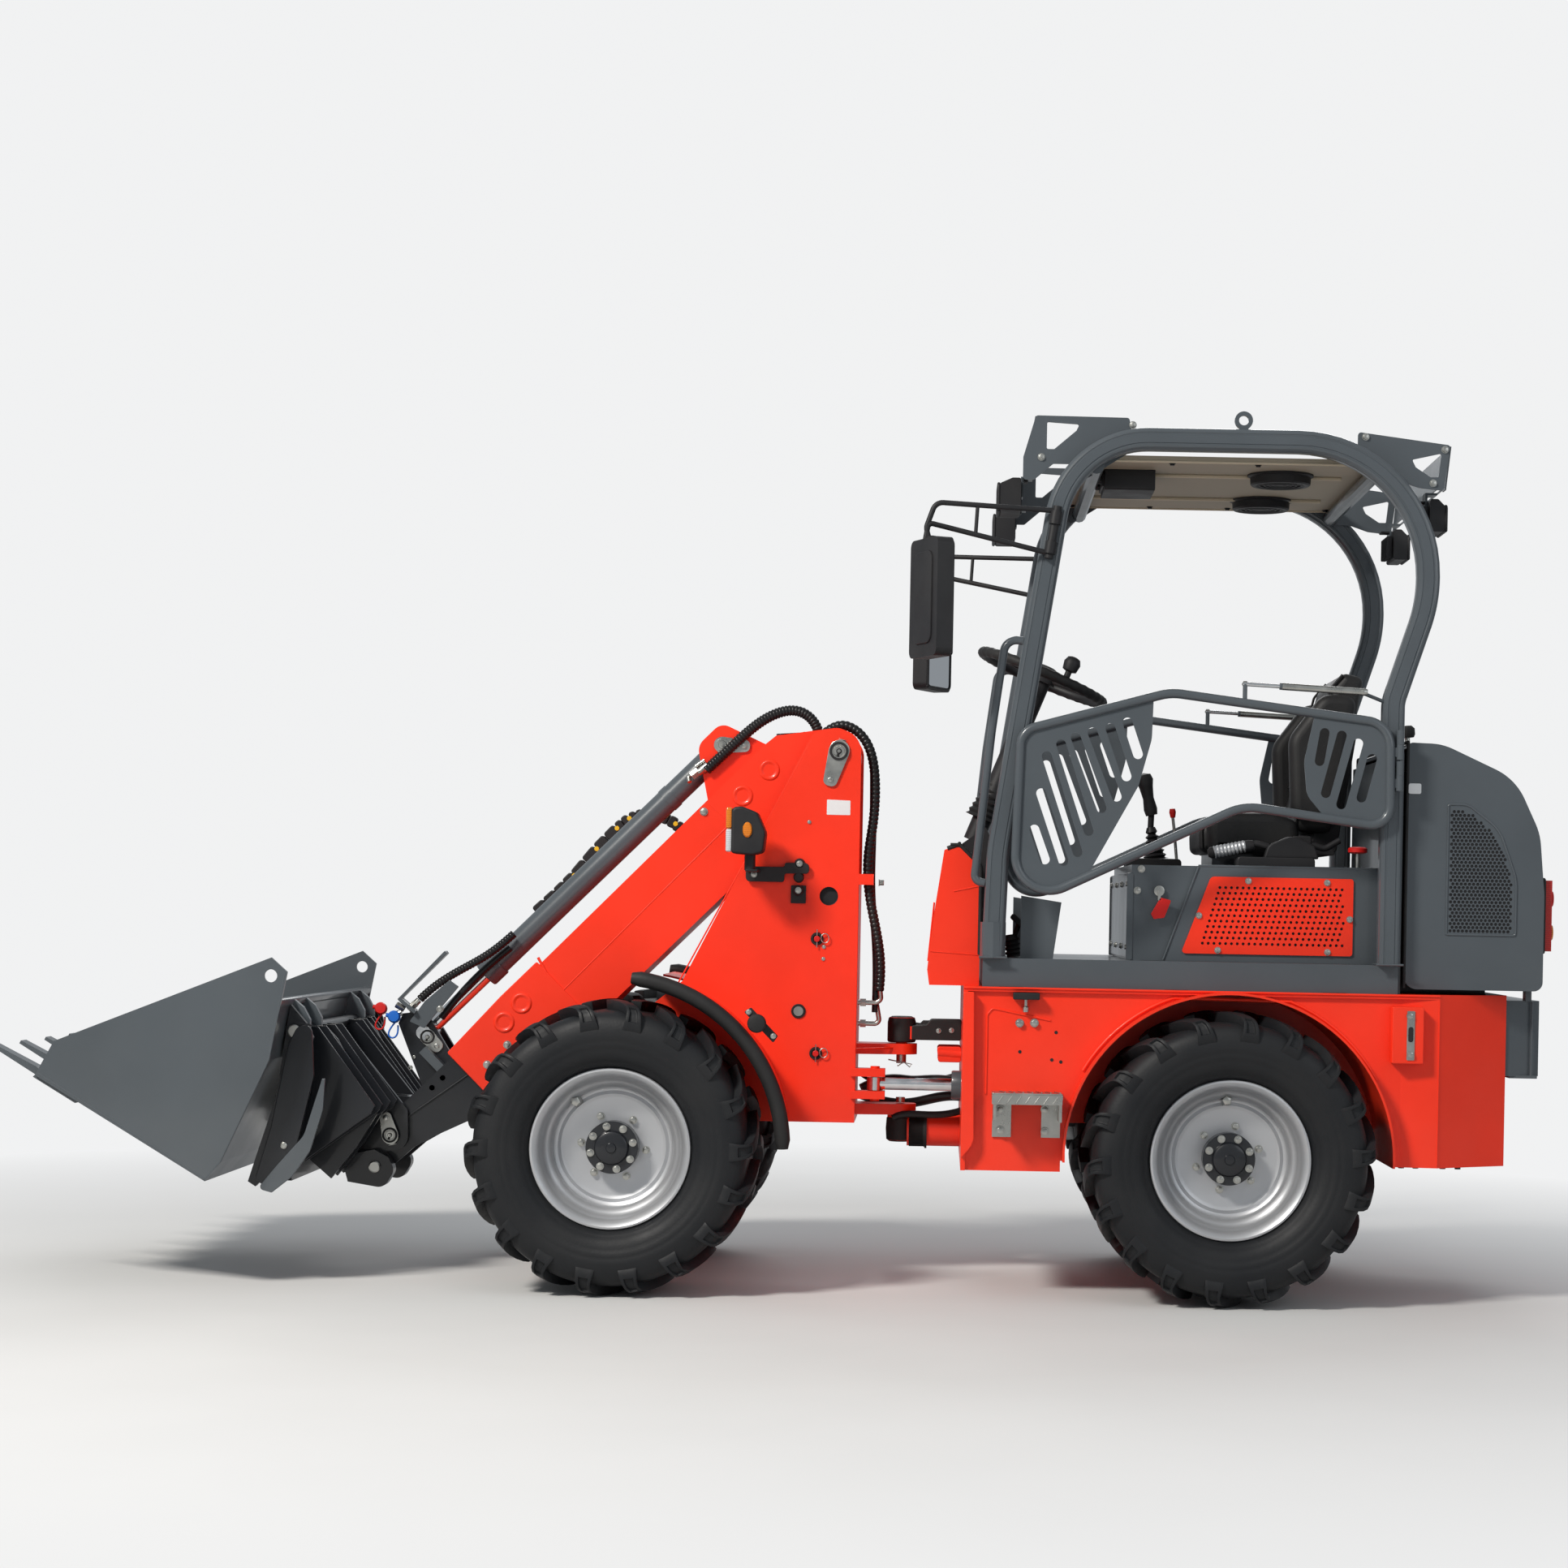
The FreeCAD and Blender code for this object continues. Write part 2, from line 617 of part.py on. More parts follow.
def side_bar():
    y = -d.rops_side
    return bent_tube([
        (d.leg_foot, y, d.sill_top + 1.2),
        (d.leg_knee_x, y, d.leg_knee_z, 600),
        (d.roof_front, y, d.roof_height),
        (d.bulge_rear, y, d.roof_height, d.bulge_bend),
        (d.bulge_rear, y, d.bulge_height, 400),
        (d.neck_rear, y, d.neck_height, d.neck_bend),
        (d.neck_rear, y, d.sill_top),
    ], d.rops_bar, d.roof_bend)


def cross_bar(x, z):
    return straight_bar((x, -d.rops_side, z), (x, d.rops_side, z), d.rops_bar * 0.7)


d.add(door_side=549, door_hinge_x=1306, hinge_radius=10)


def hinge_ears():
    """The halves of the door hinges that are welded to the rear legs."""
    ears = []
    for z in (1406.4, 1488.4):
        out = V(d.door_hinge_x.value, -d.door_side.value, z)
        ears.append(Part.makeCylinder(d.hinge_radius.value, 38, out))
        ears.append(Part.makeBox(14, 40, 38, out - V(7, 0, 0)))
    # A short bar holds the rear ball of the door's gas strut
    ears.append(straight_bar((1284, -508, 1597), (1213, -540, 1620), 5))
    return ears


made_of("rollover_frame", mirrored_pair([side_bar()] + hinge_ears())
        + [cross_bar(494, 2215), cross_bar(1240, 2215)])

# Roof liner: a beige panel under the roof with two round speakers and a radio
d.add(liner_front=440, liner_rear=1250, liner_half=462, liner_low=2236.3, liner_plate=14)
liner = Piece("roof_liner")
liner.pad("top", d.liner_low, d.liner_low + d.liner_plate,
          box(d.liner_front, -d.liner_half, d.liner_rear, d.liner_half))
liner.pad("top", d.liner_low - 24, d.liner_low, circles=[(1010, -250, 80), (1010, 250, 80)])
liner.pad("top", d.liner_low - 52, d.liner_low, box(530, -300, 660, -120))
liner.place()

# Lamp brackets: plates with a window on both sides and slotted sheets across the roof's ends
d.add(bracket_half=469.7, bracket_plate=6, slot_width=12)


def bracket(outline, window, sheet, feet):
    """One bracket: its side plates, and a sheet between them that holds rows of slots."""
    shapes = []
    for y in (-d.bracket_half, d.bracket_half - d.bracket_plate):
        plate = rounded_plate([(x, z, 8) for x, z in outline], y, d.bracket_plate)
        tools = [rounded_plate([(x, z, 4) for x, z in window], y - 1, d.bracket_plate + 2)]
        tools += [Part.makeCylinder(22, 1000, V(x, -500, 2215), V(0, 1, 0)) for x in (494, 1240)]
        shapes.append(plate.cut(tools))
    inner = (d.bracket_half - d.bracket_plate).value
    low, high = V(sheet[0][0], -inner, sheet[0][1]), V(sheet[1][0], -inner, sheet[1][1])
    thick = V(high.z - low.z, 0, low.x - high.x).normalize() * 4
    face = Part.Face(Part.makePolygon([low, high, high + thick, low + thick, low]))
    skin = face.extrude(V(0, 2 * inner, 0))
    rise = high - low
    slots = []
    for row in range(5):
        middle = low + rise * ((row + 0.8) / 5.6)
        for start in (-inner + 40, 40):
            across = rise.normalize() * d.slot_width.value / 2
            cut_low, cut_high = middle - across - thick, middle + across - thick
            edge = Part.makePolygon([cut_low, cut_high, cut_high + thick * 3, cut_low + thick * 3, cut_low])
            tool = Part.Face(edge).extrude(V(0, inner - 80, 0))
            tool.translate(V(0, start + inner, 0))
            slots.append(tool)
    shapes.append(skin.cut(slots))
    for x0, z0, x1, z1 in feet:
        for y in (-345, 295):
            shapes.append(Part.makeBox(x1 - x0, 50, z1 - z0, V(x0, y, z0)))
    return shapes[0].multiFuse(shapes[1:])


front_bracket = bracket(
    [(300, 2240), (332, 2351), (580, 2349), (600, 2268), (470, 2185), (434, 2223), (380, 2223), (330, 2180),
     (300, 2180)],
    [(362, 2334), (448, 2329), (440, 2312), (382, 2262), (362, 2262)],
    [(300, 2185), (330, 2350)], [(298, 2150, 304, 2205), (298, 2199, 330, 2205)])
rear_bracket = bracket(
    [(1190, 2323), (1437, 2292), (1421, 2171), (1353, 2178), (1300, 2196), (1240, 2196), (1190, 2235)],
    [(1335, 2252), (1413, 2270), (1406, 2206), (1385, 2206), (1345, 2232)],
    [(1424, 2174), (1436, 2290)], [(1392, 2110, 1398, 2182), (1392, 2176, 1424, 2182)])
made_of("lamp_brackets", [Part.makeCompound([front_bracket, rear_bracket])])

# Work lamps: four black lamps, two at the front and two at the rear
d.add(lamp_inner=250, lamp_outer=390)
lamps = Piece("work_lamps")
lamps.both("Pad", "side", d.lamp_inner, d.lamp_outer, [
    (240, 2105, 10), (297.7, 2105, 6), (297.7, 2196, 6), (275, 2196, 6), (240, 2180, 10)])
lamps.both("Pad", "side", d.lamp_inner, d.lamp_outer, [
    (1398.3, 2072, 6), (1440, 2072, 10), (1440, 2140, 10), (1420, 2160, 6), (1398.3, 2160, 6)])
lamps.place()

# Lifting eyes on top of the roll-over frame
d.add(eye_x=882, eye_outer=24, eye_hole=13, eye_half=6)
eyes = Piece("lifting_eyes")
eye_height = d.roof_height + d.rops_bar + d.eye_outer + 1
for side in (-1, 1):
    middle = side * d.rops_side
    eyes.pad("side", middle - d.eye_half, middle + d.eye_half, circles=[(d.eye_x, eye_height, d.eye_outer)])
    eyes.pad("side", middle - d.eye_half, middle + d.eye_half,
             box(d.eye_x - 12, d.roof_height + d.rops_bar + 0.3, d.eye_x + 12, eye_height))
    eyes.cut("side", middle - d.eye_half - 1, middle + d.eye_half + 1,
             circles=[(d.eye_x, eye_height, d.eye_hole)])
eyes.place()

# Cowl: the red nose of the cab, hollow, with a black dashboard block inside
d.add(cowl_half=450, cowl_skin=8)
cowl = Piece("cowl")
cowl.pad("side", -d.cowl_half, d.cowl_half, [
    (209, d.deck_top), (209, 1150), (150, 1206), (110, 1190), (84, 1010), (70, 870), (76, d.deck_top)])
cowl.cut("side", -d.cowl_half + d.cowl_skin, d.cowl_half - d.cowl_skin, [
    (210, d.deck_top - 1), (210, 1140), (150, 1190), (118, 1178), (93, 1010), (79, 872), (84, d.deck_top - 1)])
cowl.place()

d.add(column_radius=28, wheel_centre_x=378, wheel_centre_z=1690, wheel_tilt=22, wheel_radius=180,
      wheel_bar=14)
column_top = (d.wheel_centre_x - 14.4 * sine(d.wheel_tilt), 0, d.wheel_centre_z - 14.4 * cosine(d.wheel_tilt))
column_foot = (d.wheel_centre_x - 500 * sine(d.wheel_tilt), 0, d.wheel_centre_z - 500 * cosine(d.wheel_tilt))
dash = Part.Face(Part.makePolygon([V(x, -110, z) for x, z in (
    (160, 1216), (218, 1157), (218, 905.3), (262, 905.3), (262, 1180), (225, 1262), (160, 1216))]))
made_of("steering_column", [straight_bar(column_foot, column_top, d.column_radius),
                            dash.extrude(V(0, 220, 0))])

wheel_ring = Part.makeTorus(d.wheel_radius.value, d.wheel_bar.value)
wheel_hub = Part.makeCylinder(40, 36, V(0, 0, -14))
spokes = []
for turn in (90, 210, 330):
    reach = V(math.cos(math.radians(turn)), math.sin(math.radians(turn)), 0) * d.wheel_radius.value
    spokes.append(Part.makeCylinder(9, d.wheel_radius.value, V(0, 0, 0), reach))
steering = made_of("steering_wheel", [wheel_ring, wheel_hub] + spokes)
place(steering, d.wheel_centre_x, 0, d.wheel_centre_z, d.wheel_tilt)

# Seat: suspension base, cushion and back with side bolsters
base = Piece("seat_base")
base.pad("top", d.box_top, d.box_top + 40, box(850, -170, 1130, 170))
base.place()
seat = Piece("seat")
seat.pad("side", -190, 190, [
    (815, 1201, 16), (811, 1290, 34), (1095, 1262, 20), (1172, 1668, 30), (1205, 1706, 20), (1276, 1696, 20),
    (1195, 1201, 30)])
seat.both("Pad", "side", 175, 240, [
    (835, 1201, 16), (828, 1312, 34), (1020, 1312, 60), (1075, 1300, 40), (1050, 1520, 60), (1140, 1640, 60),
    (1245, 1640, 30), (1195, 1201, 30)])
seat.place()

# Levers: the joystick on a right-hand console, the brake lever and the small levers
d.add(stick_side=310, stick_bellows=25, brake_side=325)
top = d.box_top.value
console = Part.makeBox(160, 130, 30, V(640, 250, top))
bellows = Part.makeCone(d.stick_bellows.value, 17, 105, V(730, d.stick_side.value, top + 29), V(-0.2, 0, 1))
stick = bent_tube([(712, d.stick_side, 1280), (712, d.stick_side, 1345), (686, d.stick_side, 1425)], 11, 20)
small_lever = straight_bar((783, d.stick_side, top + 29), (775, d.stick_side, 1335), 5)
bracket_block = Part.makeBox(210, 90, 28, V(900, -370, top))
brake = bent_tube([(1060, -d.brake_side, 1180), (955, -d.brake_side, 1226), (830, -d.brake_side, 1197)], 13, 60)
guard = Part.makeCylinder(75, 40, V(1048, -355, top - 0.2), V(0, 1, 0)).common(
    Part.makeBox(200, 100, 100, V(950, -380, top)))
knob = Part.makeCylinder(8, 50, V(1228, -340, top)).fuse(Part.makeCylinder(26, 18, V(1228, -340, top + 44)))
made_of("levers", [Part.makeCompound([
    console.multiFuse([bellows, stick, small_lever]), bracket_block.multiFuse([brake, guard]), knob])])

# Mirrors: a tube frame clamped to each front leg and a tall housing
d.add(mirror_side=600, mirror_bar=7)


def mirror_arm():
    """Two bars from the clamp to the housing, joined by a strut and a long upright."""
    y, out = -d.rops_side - d.rops_bar - 12.3, -d.mirror_side
    upper = bent_tube([
        (388, y, 2088), (70, out, 2097), (46, out, 2030), (58, out, 1985)], d.mirror_bar, 28)
    lower = bent_tube([(370, y, 1976), (52, out, 2043), (44, out, 1995)], d.mirror_bar, 12)
    strut = straight_bar((180, y + (out - y) * 0.65, 2092), (176, y + (out - y) * 0.62, 2017), 5)
    return upper.multiFuse([lower, strut])


def mirror_housing():
    """The housing is turned so that the driver sees the road behind in its glass."""
    side = d.mirror_side.value
    shell = Part.makeBox(46, 170, 310, V(40, -side - 85, 1690))
    shell = shell.makeFillet(20, [e for e in shell.Edges if abs(e.tangentAt(e.FirstParameter).x) > 0.9])
    shell.rotate(V(63, -side, 0), V(0, 0, 1), 25)
    return shell


def mirror_clamp():
    """A sleeve beside the front leg, parallel to it."""
    y = -(d.rops_side + d.rops_bar + 12.3)
    return straight_bar((370, y, 1962), (391.5, y, 2100), 12)


arm = mirror_arm().multiFuse([mirror_housing(), mirror_clamp()])
made_of("mirrors", [Part.makeCompound(mirrored_pair([arm]))])

# Grab rails beside the front legs
rail_y = -d.rops_side - 8
rail = bent_tube([
    (306.8, rail_y, 1746), (262, rail_y, 1752, 34), (230, rail_y, 1511, 600), (190, rail_y, 1108),
    (218.8, rail_y, 1103)], 11, 20)
made_of("grab_rails", [Part.makeCompound(mirrored_pair([rail]))])

# Steps: two zinc angles and a tread on each side of the frame
steps = Piece("steps")
steps.both("Pad", "side", wall_outer, d.arch_half + 80, box(247, 540, 431, 552))
steps.both("Pad", "side", wall_outer, wall_outer + 6, box(250, 432, 300, 540))
steps.both("Pad", "side", wall_outer, wall_outer + 6, box(380, 432, 430, 540))
steps.both("Pad", "side", wall_outer + 6, d.arch_half + 60, box(250, 480, 258, 540))
steps.both("Pad", "side", wall_outer + 6, d.arch_half + 60, box(422, 480, 430, 540))
steps.place()

# Bonnet: a dark hood hinged at its lower rear edge, with a vent on each side and the tail lamps
d.add(bonnet_front=1337, bonnet_half=480, bonnet_skin=7, bonnet_low=843, bonnet_rear=1707)
bonnet = Piece("bonnet")


def hood(inset):
    """The side outline: the roof line falls to the tail in large bends."""
    front = d.bonnet_front - 1 if inset else d.bonnet_front
    low = d.bonnet_low - inset
    return [
        (front, 1499 - inset, 14), (1430, 1496 - inset, 150), (1625 - inset / 2, 1407 - inset, 160),
        (1693 - inset, 1262, 170), (d.bonnet_rear - inset, 1100, 120), (d.bonnet_rear - inset, low, 24),
        (front, low, 36),
    ]


vent_outline = [(1448, 990, 6), (1632, 990, 6), (1632, 1140, 140), (1585, 1270, 110), (1500, 1336, 50),
                (1448, 1336, 6)]
bonnet.pad("side", -d.bonnet_half, d.bonnet_half, hood(0))
bonnet.cut("side", -d.bonnet_half + d.bonnet_skin, d.bonnet_half - d.bonnet_skin, hood(7))
bonnet.both("Pocket", "side", d.bonnet_half - 20, d.bonnet_half + 1, vent_outline)
bonnet.both("Pocket", "side", 337, 383, box(d.hood_hinge_x + 5, d.bonnet_low - 2, d.bonnet_rear + 1, 876))
for low, high in ((300, 340), (380, 420)):
    bonnet.both("Pad", "side", low + 0.3, high - 0.3, circles=[(d.hood_hinge_x, d.hood_hinge_z, 8)])
    bonnet.both("Pad", "side", low + 0.3, high - 0.3,
                box(d.hood_hinge_x, d.hood_hinge_z - 6, d.bonnet_rear - 4, d.hood_hinge_z + 6))
bonnet.place()
vents = Piece("bonnet_vents")
vents.both("Pad", "side", d.bonnet_half - 5, d.bonnet_half - 2, vent_outline)
vents.place()
lights = Piece("tail_lamps")
lights.pad("front", d.bonnet_rear, d.reach_rear, box(-460, 950, -400, 1139), box(400, 950, 460, 1139))
lights.place()

# Doors: a bent tube frame with a slotted plate in front and behind, hung on the rear legs
d.add(door_bar=12.5, door_plate=4, strut_rod=5, strut_tube=9)
# Slots of the door plates: X and Z of the upper end, then of the lower end
door_slots = [
    (346, 1246, 375, 1168), (362, 1342, 424, 1165), (375, 1440, 461, 1189), (412, 1472, 489, 1245),
    (450, 1491, 522, 1306), (494, 1505, 561, 1337), (541, 1517, 586, 1391), (586, 1533, 615, 1450),
    (1106, 1515, 1094, 1441), (1151, 1509, 1112, 1357), (1195, 1489, 1153, 1328), (1232, 1449, 1206, 1347),
]


def door_shapes():
    y = -d.door_side
    over = bent_tube([
        (300.5, y, 1269), (307, y, 1506, 50), (698, y, 1614, 150), (1279, y, 1542, 70), (1281, y, 1405)],
        d.door_bar, 50)
    under = bent_tube([
        (1281, y, 1405), (1283, y, 1268, 50), (895, y, 1319, 150), (294, y, 1032, 90), (300.5, y, 1269)],
        d.door_bar, 50)
    y_low = y - d.door_plate / 2
    front = rounded_plate([
        (307, 1506, 50), (654, 1602, 6), (651, 1490, 90), (618, 1366, 60), (486, 1124, 8), (294, 1032, 90)],
        y_low, d.door_plate)
    behind = rounded_plate([
        (1080, 1566.5, 6), (1279, 1542, 70), (1283, 1268, 50), (1112, 1290.5, 8), (1062, 1350, 50),
        (1053, 1440, 90)], y_low, d.door_plate)
    slots = [slot_tool(*ends, 26, y_low.value - 1, 6) for ends in door_slots]
    ears = [Part.makeCylinder(d.hinge_radius.value, 40, V(d.door_hinge_x.value, y.value, z))
            for z in (1366, 1448)]
    links = [Part.makeBox(24, 8, 24, V(d.door_hinge_x.value - 26, y.value - 4, z + 8)) for z in (1366, 1448)]
    # The gas strut that holds the door open, on a post on its top bar
    post = straight_bar((894, y, 1590), (894, y, 1640), 6)
    rod = straight_bar((888, y, 1640.3), (1000, y, 1635), d.strut_rod)
    tube = straight_bar((985, y, 1635.7), (1203, y, 1625.3), d.strut_tube)
    return over.multiFuse([under, front.cut(slots), behind.cut(slots), post, rod, tube] + ears + links)


door = door_shapes()
made_of("door_left", [door])
made_of("door_right", [door.mirror(V(0, 0, 0), V(0, 1, 0))])

# Front frame: two tall mast plates on a base with the lugs of the joint and the red arches
d.add(
    mast_inner=140, mast_plate=16, mast_rear=125, mast_low=436, mast_head=60, boom_pivot_x=186,
    boom_pivot_z=1463, mast_knee_x=608, mast_knee_z=819, front_arch=440, front_arch_half=540,
    lug_half=60, lug_tip=44,
)
front = Piece("front_frame")
mast_outer = d.mast_inner + d.mast_plate
saddle_top = d.rail_bottom + d.slack
pivot_x, pivot_z = -d.boom_pivot_x, d.boom_pivot_z
front.both("Pad", "side", d.mast_inner, mast_outer, [
    (-d.mast_rear, d.mast_low), (-d.mast_rear, pivot_z + d.mast_head, d.mast_head),
    (-255, pivot_z + d.mast_head, 50), (-d.mast_knee_x, d.mast_knee_z), (-880, 600),
    (-900, saddle_top), (-620, saddle_top), (-600, d.mast_low)])
front.pad("top", d.mast_low, d.mast_low + 16, box(-600, -d.mast_inner, -d.mast_rear, d.mast_inner))
front.pad("top", saddle_top, saddle_top + 16, box(-900, -d.mast_inner, -600, d.mast_inner))
front.cut("top", saddle_top - 1, saddle_top + 17, box(-860, -115, -640, 115))
front.pad("front", -d.mast_rear - 12, -d.mast_rear, box(-d.mast_inner, d.mast_low, d.mast_inner, 1120))
for level in (d.upper_lug, d.lower_lug):
    front.pad("top", level - d.lug_plate / 2, level + d.lug_plate / 2,
              [(-d.mast_rear, -d.lug_half), (0, -d.lug_tip), (0, d.lug_tip), (-d.mast_rear, d.lug_half)],
              )
    front.pad("top", level - d.lug_plate / 2, level + d.lug_plate / 2, circles=[(0, 0, d.lug_tip)])
front.pad("top", d.upper_lug, arm_low + 50, circles=[(0, 0, d.pin_radius)])
front.pad("top", lower_top - 50, d.lower_lug, circles=[(0, 0, d.pin_radius)])
arch_spot = (-d.axle_front, d.tyre_radius)
front.both("Pad", "side", mast_outer, d.front_arch_half, circles=[(*arch_spot, d.front_arch + 6)])
front.both("Pocket", "side", mast_outer, d.front_arch_half + 1, circles=[(*arch_spot, d.front_arch)])
front.both("Pocket", "side", mast_outer, d.front_arch_half + 1, box(-d.axle_front - 500, -80, -d.axle_front + 60, 900))
front.both("Pocket", "side", mast_outer, d.front_arch_half + 1, box(-d.axle_front - 500, -80, -d.axle_front + 500, 430))
# The pin of each cylinder's rod is cut in two halves that end at its eye, which may leave its place
d.add(steer_eye_x=70, steer_rod=17, steer_barrel=37, steer_eye_thick=18)
for low, high, pin_low, pin_high in ((-42, -20, -48, -d.steer_eye_thick - 0.5),
                                     (20, 42, d.steer_eye_thick + 0.5, 48)):
    front.pad("top", d.steer_height + low, d.steer_height + high,
              box(-d.mast_rear - 12, -d.steer_side - 28, -d.steer_eye_x + 28, -d.steer_side + 28))
    front.pad("top", d.steer_height + pin_low, d.steer_height + pin_high,
              circles=[(-d.steer_eye_x, -d.steer_side, d.steer_pin)])
# Lugs on the base plate hold the foot of the lift cylinder
d.add(lift_foot_x=330, lift_foot_z=500, lift_lug_in=44, lift_lug_out=60, lift_pin=20)
front.both("Pad", "side", d.lift_lug_in, d.lift_lug_out, [
    (-d.lift_foot_x - 50, d.mast_low + 10), (-d.lift_foot_x - 36, d.lift_foot_z + 42, 34),
    (-d.lift_foot_x + 36, d.lift_foot_z + 42, 34), (-d.lift_foot_x + 50, d.mast_low + 10)])
front.both("Pocket", "side", d.lift_lug_in - 1, d.lift_lug_out + 1,
           circles=[(-d.lift_foot_x, d.lift_foot_z, d.lift_pin + d.slack)])
front.both("Pocket", "side", d.mast_inner - 1, mast_outer + 1, circles=[(-207, 1062, 25)])
front.pad("top", 1095, 1125, box(-d.mast_rear - 4, -mast_outer, -84, -mast_outer + 23))
front.place()

# Rubber lips on the outer edges of the front arches
lips = Piece("fender_lips")
lips.both("Pad", "side", d.front_arch_half, d.front_arch_half + 40, circles=[(*arch_spot, d.front_arch + 30)])
lips.both("Pocket", "side", d.front_arch_half - 1, d.front_arch_half + 41, circles=[(*arch_spot, d.front_arch - 15)])
lips.both("Pocket", "side", d.front_arch_half - 1, d.front_arch_half + 41, box(-d.axle_front - 500, -95, -d.axle_front + 40, 900))
lips.both("Pocket", "side", d.front_arch_half - 1, d.front_arch_half + 41, box(-d.axle_front - 500, -95, -d.axle_front + 500, 389))
lips.place()

# Mast lamps on arms at both sides of the mast
mast_lamps = Piece("mast_lamps")
mast_lamps.both("Pad", "side", 250, 350, [(-479, 1166), (-479, 1298), (-395, 1290), (-377, 1250), (-390, 1170)])
mast_lamps.both("Pad", "side", mast_outer, 310, box(-437, 1100, -400, 1135))
mast_lamps.both("Pad", "side", 285, 310, box(-437, 1135, -400, 1170))
mast_lamps.both("Pad", "side", mast_outer, mast_outer + 8, box(-437, 1085, -272, 1148))
mast_lamps.place()

# Hoses down the back of the mast
d.add(hose=13)
mast_hose = bent_tube([
    (-95, -90, 1530), (-62, -92, 1440, 60), (-78, -119, 1330, 90), (-100, -119, 1230, 90),
    (-100, -119, 1060, 120), (-58, -98, 870, 90), (-66, -90, 690), (-124.7, -90, 690)], d.hose, 30)
made_of("mast_hoses", [mast_hose])

# Boom: drawn level from its pivot, the tube runs to -X, and then lowered to its place
d.add(
    inner_low=45, boom_drop=45, boom_half=120, boom_wall=10, boom_top=160, boom_low=64, boom_end=1366,
    head_start=480, pivot_boss=38, tele_height=245, tele_rear=221, tele_front=1382, tele_barrel=34,
    tele_rod=21, tele_gland=1152, tele_pin=20, tele_lug_in=38, tele_lug_out=54,
)


def on_boom(thing):
    place(thing, pivot_x, 0, pivot_z, -d.boom_drop)


boom = Piece("boom")
boom.pad("side", -d.boom_half, d.boom_half, [
    (-d.boom_end, 150), (-d.boom_end, -23), (-1250, -d.boom_low), (40, -d.boom_low, 58),
    (60, 40, 50), (-95, 155), (-150, d.boom_top)])
boom.cut("side", -d.boom_half + d.boom_wall, d.boom_half - d.boom_wall, [
    (-d.boom_end - 1, 142), (-d.boom_end - 1, -80), (-1245, -80), (-1245, -d.boom_low + d.boom_wall),
    (-70, -d.boom_low + d.boom_wall), (-70, 120), (-160, d.boom_top - d.boom_wall)])
boom.cut("side", -60, 60, box(-520, -d.boom_low - 1, -130, -d.boom_low + d.boom_wall + 1))
boom.pad("side", -d.mast_inner + 1, d.mast_inner - 1, circles=[(0, 0, d.pivot_boss)])
boom.both("Pad", "side", d.tele_lug_in, d.tele_lug_out, [
    (-364, d.boom_top - 5), (-d.tele_rear - 52, d.tele_height + 48, 42),
    (-d.tele_rear + 40, d.tele_height + 48, 36), (-130, d.boom_top - 5)])
boom.both("Pocket", "side", d.tele_lug_in - 1, d.tele_lug_out + 1,
          circles=[(-d.tele_rear, d.tele_height, d.tele_pin + d.slack)])
d.add(lift_eye_s=300, lift_eye_n=60, lift_ear_in=60, lift_ear_out=76, lift_eye_pin=18, lift_eye_thick=40)
# A wear pad under the front end carries the inner boom
boom.pad("side", -70, 70, box(-1240, -d.boom_low + d.boom_wall - 1, -1180, -d.inner_low - d.slack))
boom.both("Pad", "side", d.lift_ear_in, d.lift_ear_out, [
    (-d.lift_eye_s - 50, -30), (-d.lift_eye_s - 50, -70), (-d.lift_eye_s - 25, -105),
    (-d.lift_eye_s + 25, -105), (-d.lift_eye_s + 50, -70), (-d.lift_eye_s + 50, -30)])
boom.both("Pad", "side", d.lift_eye_thick + 0.5, d.lift_ear_out + 6,
          circles=[(-d.lift_eye_s, -d.lift_eye_n, d.lift_eye_pin)])
on_boom(boom.body)

tele = Piece("telescope_barrel")
tele.turn([(-d.tele_gland, d.tele_rod + d.rod_slack), (-d.tele_gland, d.tele_barrel),
           (-d.tele_rear - 36, d.tele_barrel), (-d.tele_rear - 36, 0), (-d.tele_rear - 60, 0),
           (-d.tele_rear - 60, d.tele_rod + d.rod_slack)])
tele.pad("side", -d.tele_lug_in + 1, d.tele_lug_in - 1, circles=[(-d.tele_rear, 0, d.tele_barrel + 4)])
tele.pad("side", -d.tele_lug_out - 8, d.tele_lug_out + 8, circles=[(-d.tele_rear, 0, d.tele_pin)])


def above_boom(piece):
    """Places what lies along the telescope cylinder's axis."""
    lift = d.tele_height
    place(piece.body, pivot_x - lift * sine(d.boom_drop), 0, pivot_z + lift * cosine(d.boom_drop), -d.boom_drop)


above_boom(tele)

# Inner boom: a black tube that slides in the boom, with the nose that carries the tool
d.add(
    inner_half=100, inner_wall=12, inner_top=138, inner_rear=520, nose_open=1480,
    tool_pivot_s=1635, tool_pivot_n=99, tool_pin=20, tool_boss=45,
)
inner = Piece("inner_boom")
inner.pad("side", -d.inner_half, d.inner_half, [
    (-d.inner_rear, -d.inner_low), (-d.inner_rear, d.inner_top), (-1500, d.inner_top),
    (-d.tool_pivot_s - 30, d.tool_pivot_n + d.tool_boss, 40), (-1689, 34), (-1616, 30), (-1570, 18),
    (-1394, -d.inner_low)])
inner.cut("side", -d.inner_half + d.inner_wall, d.inner_half - d.inner_wall, [
    (-d.inner_rear + 1, -d.inner_low + d.inner_wall), (-d.inner_rear + 1, d.inner_top - d.inner_wall),
    (-d.nose_open, d.inner_top - d.inner_wall), (-d.nose_open, 210), (-1760, 210), (-1760, -60),
    (-1500, -60), (-1500, 8), (-1390, -d.inner_low + d.inner_wall)])
inner.cut("side", -45, 45, box(-d.nose_open - 1, d.inner_top - d.inner_wall - 1, -1290, d.inner_top + 1))
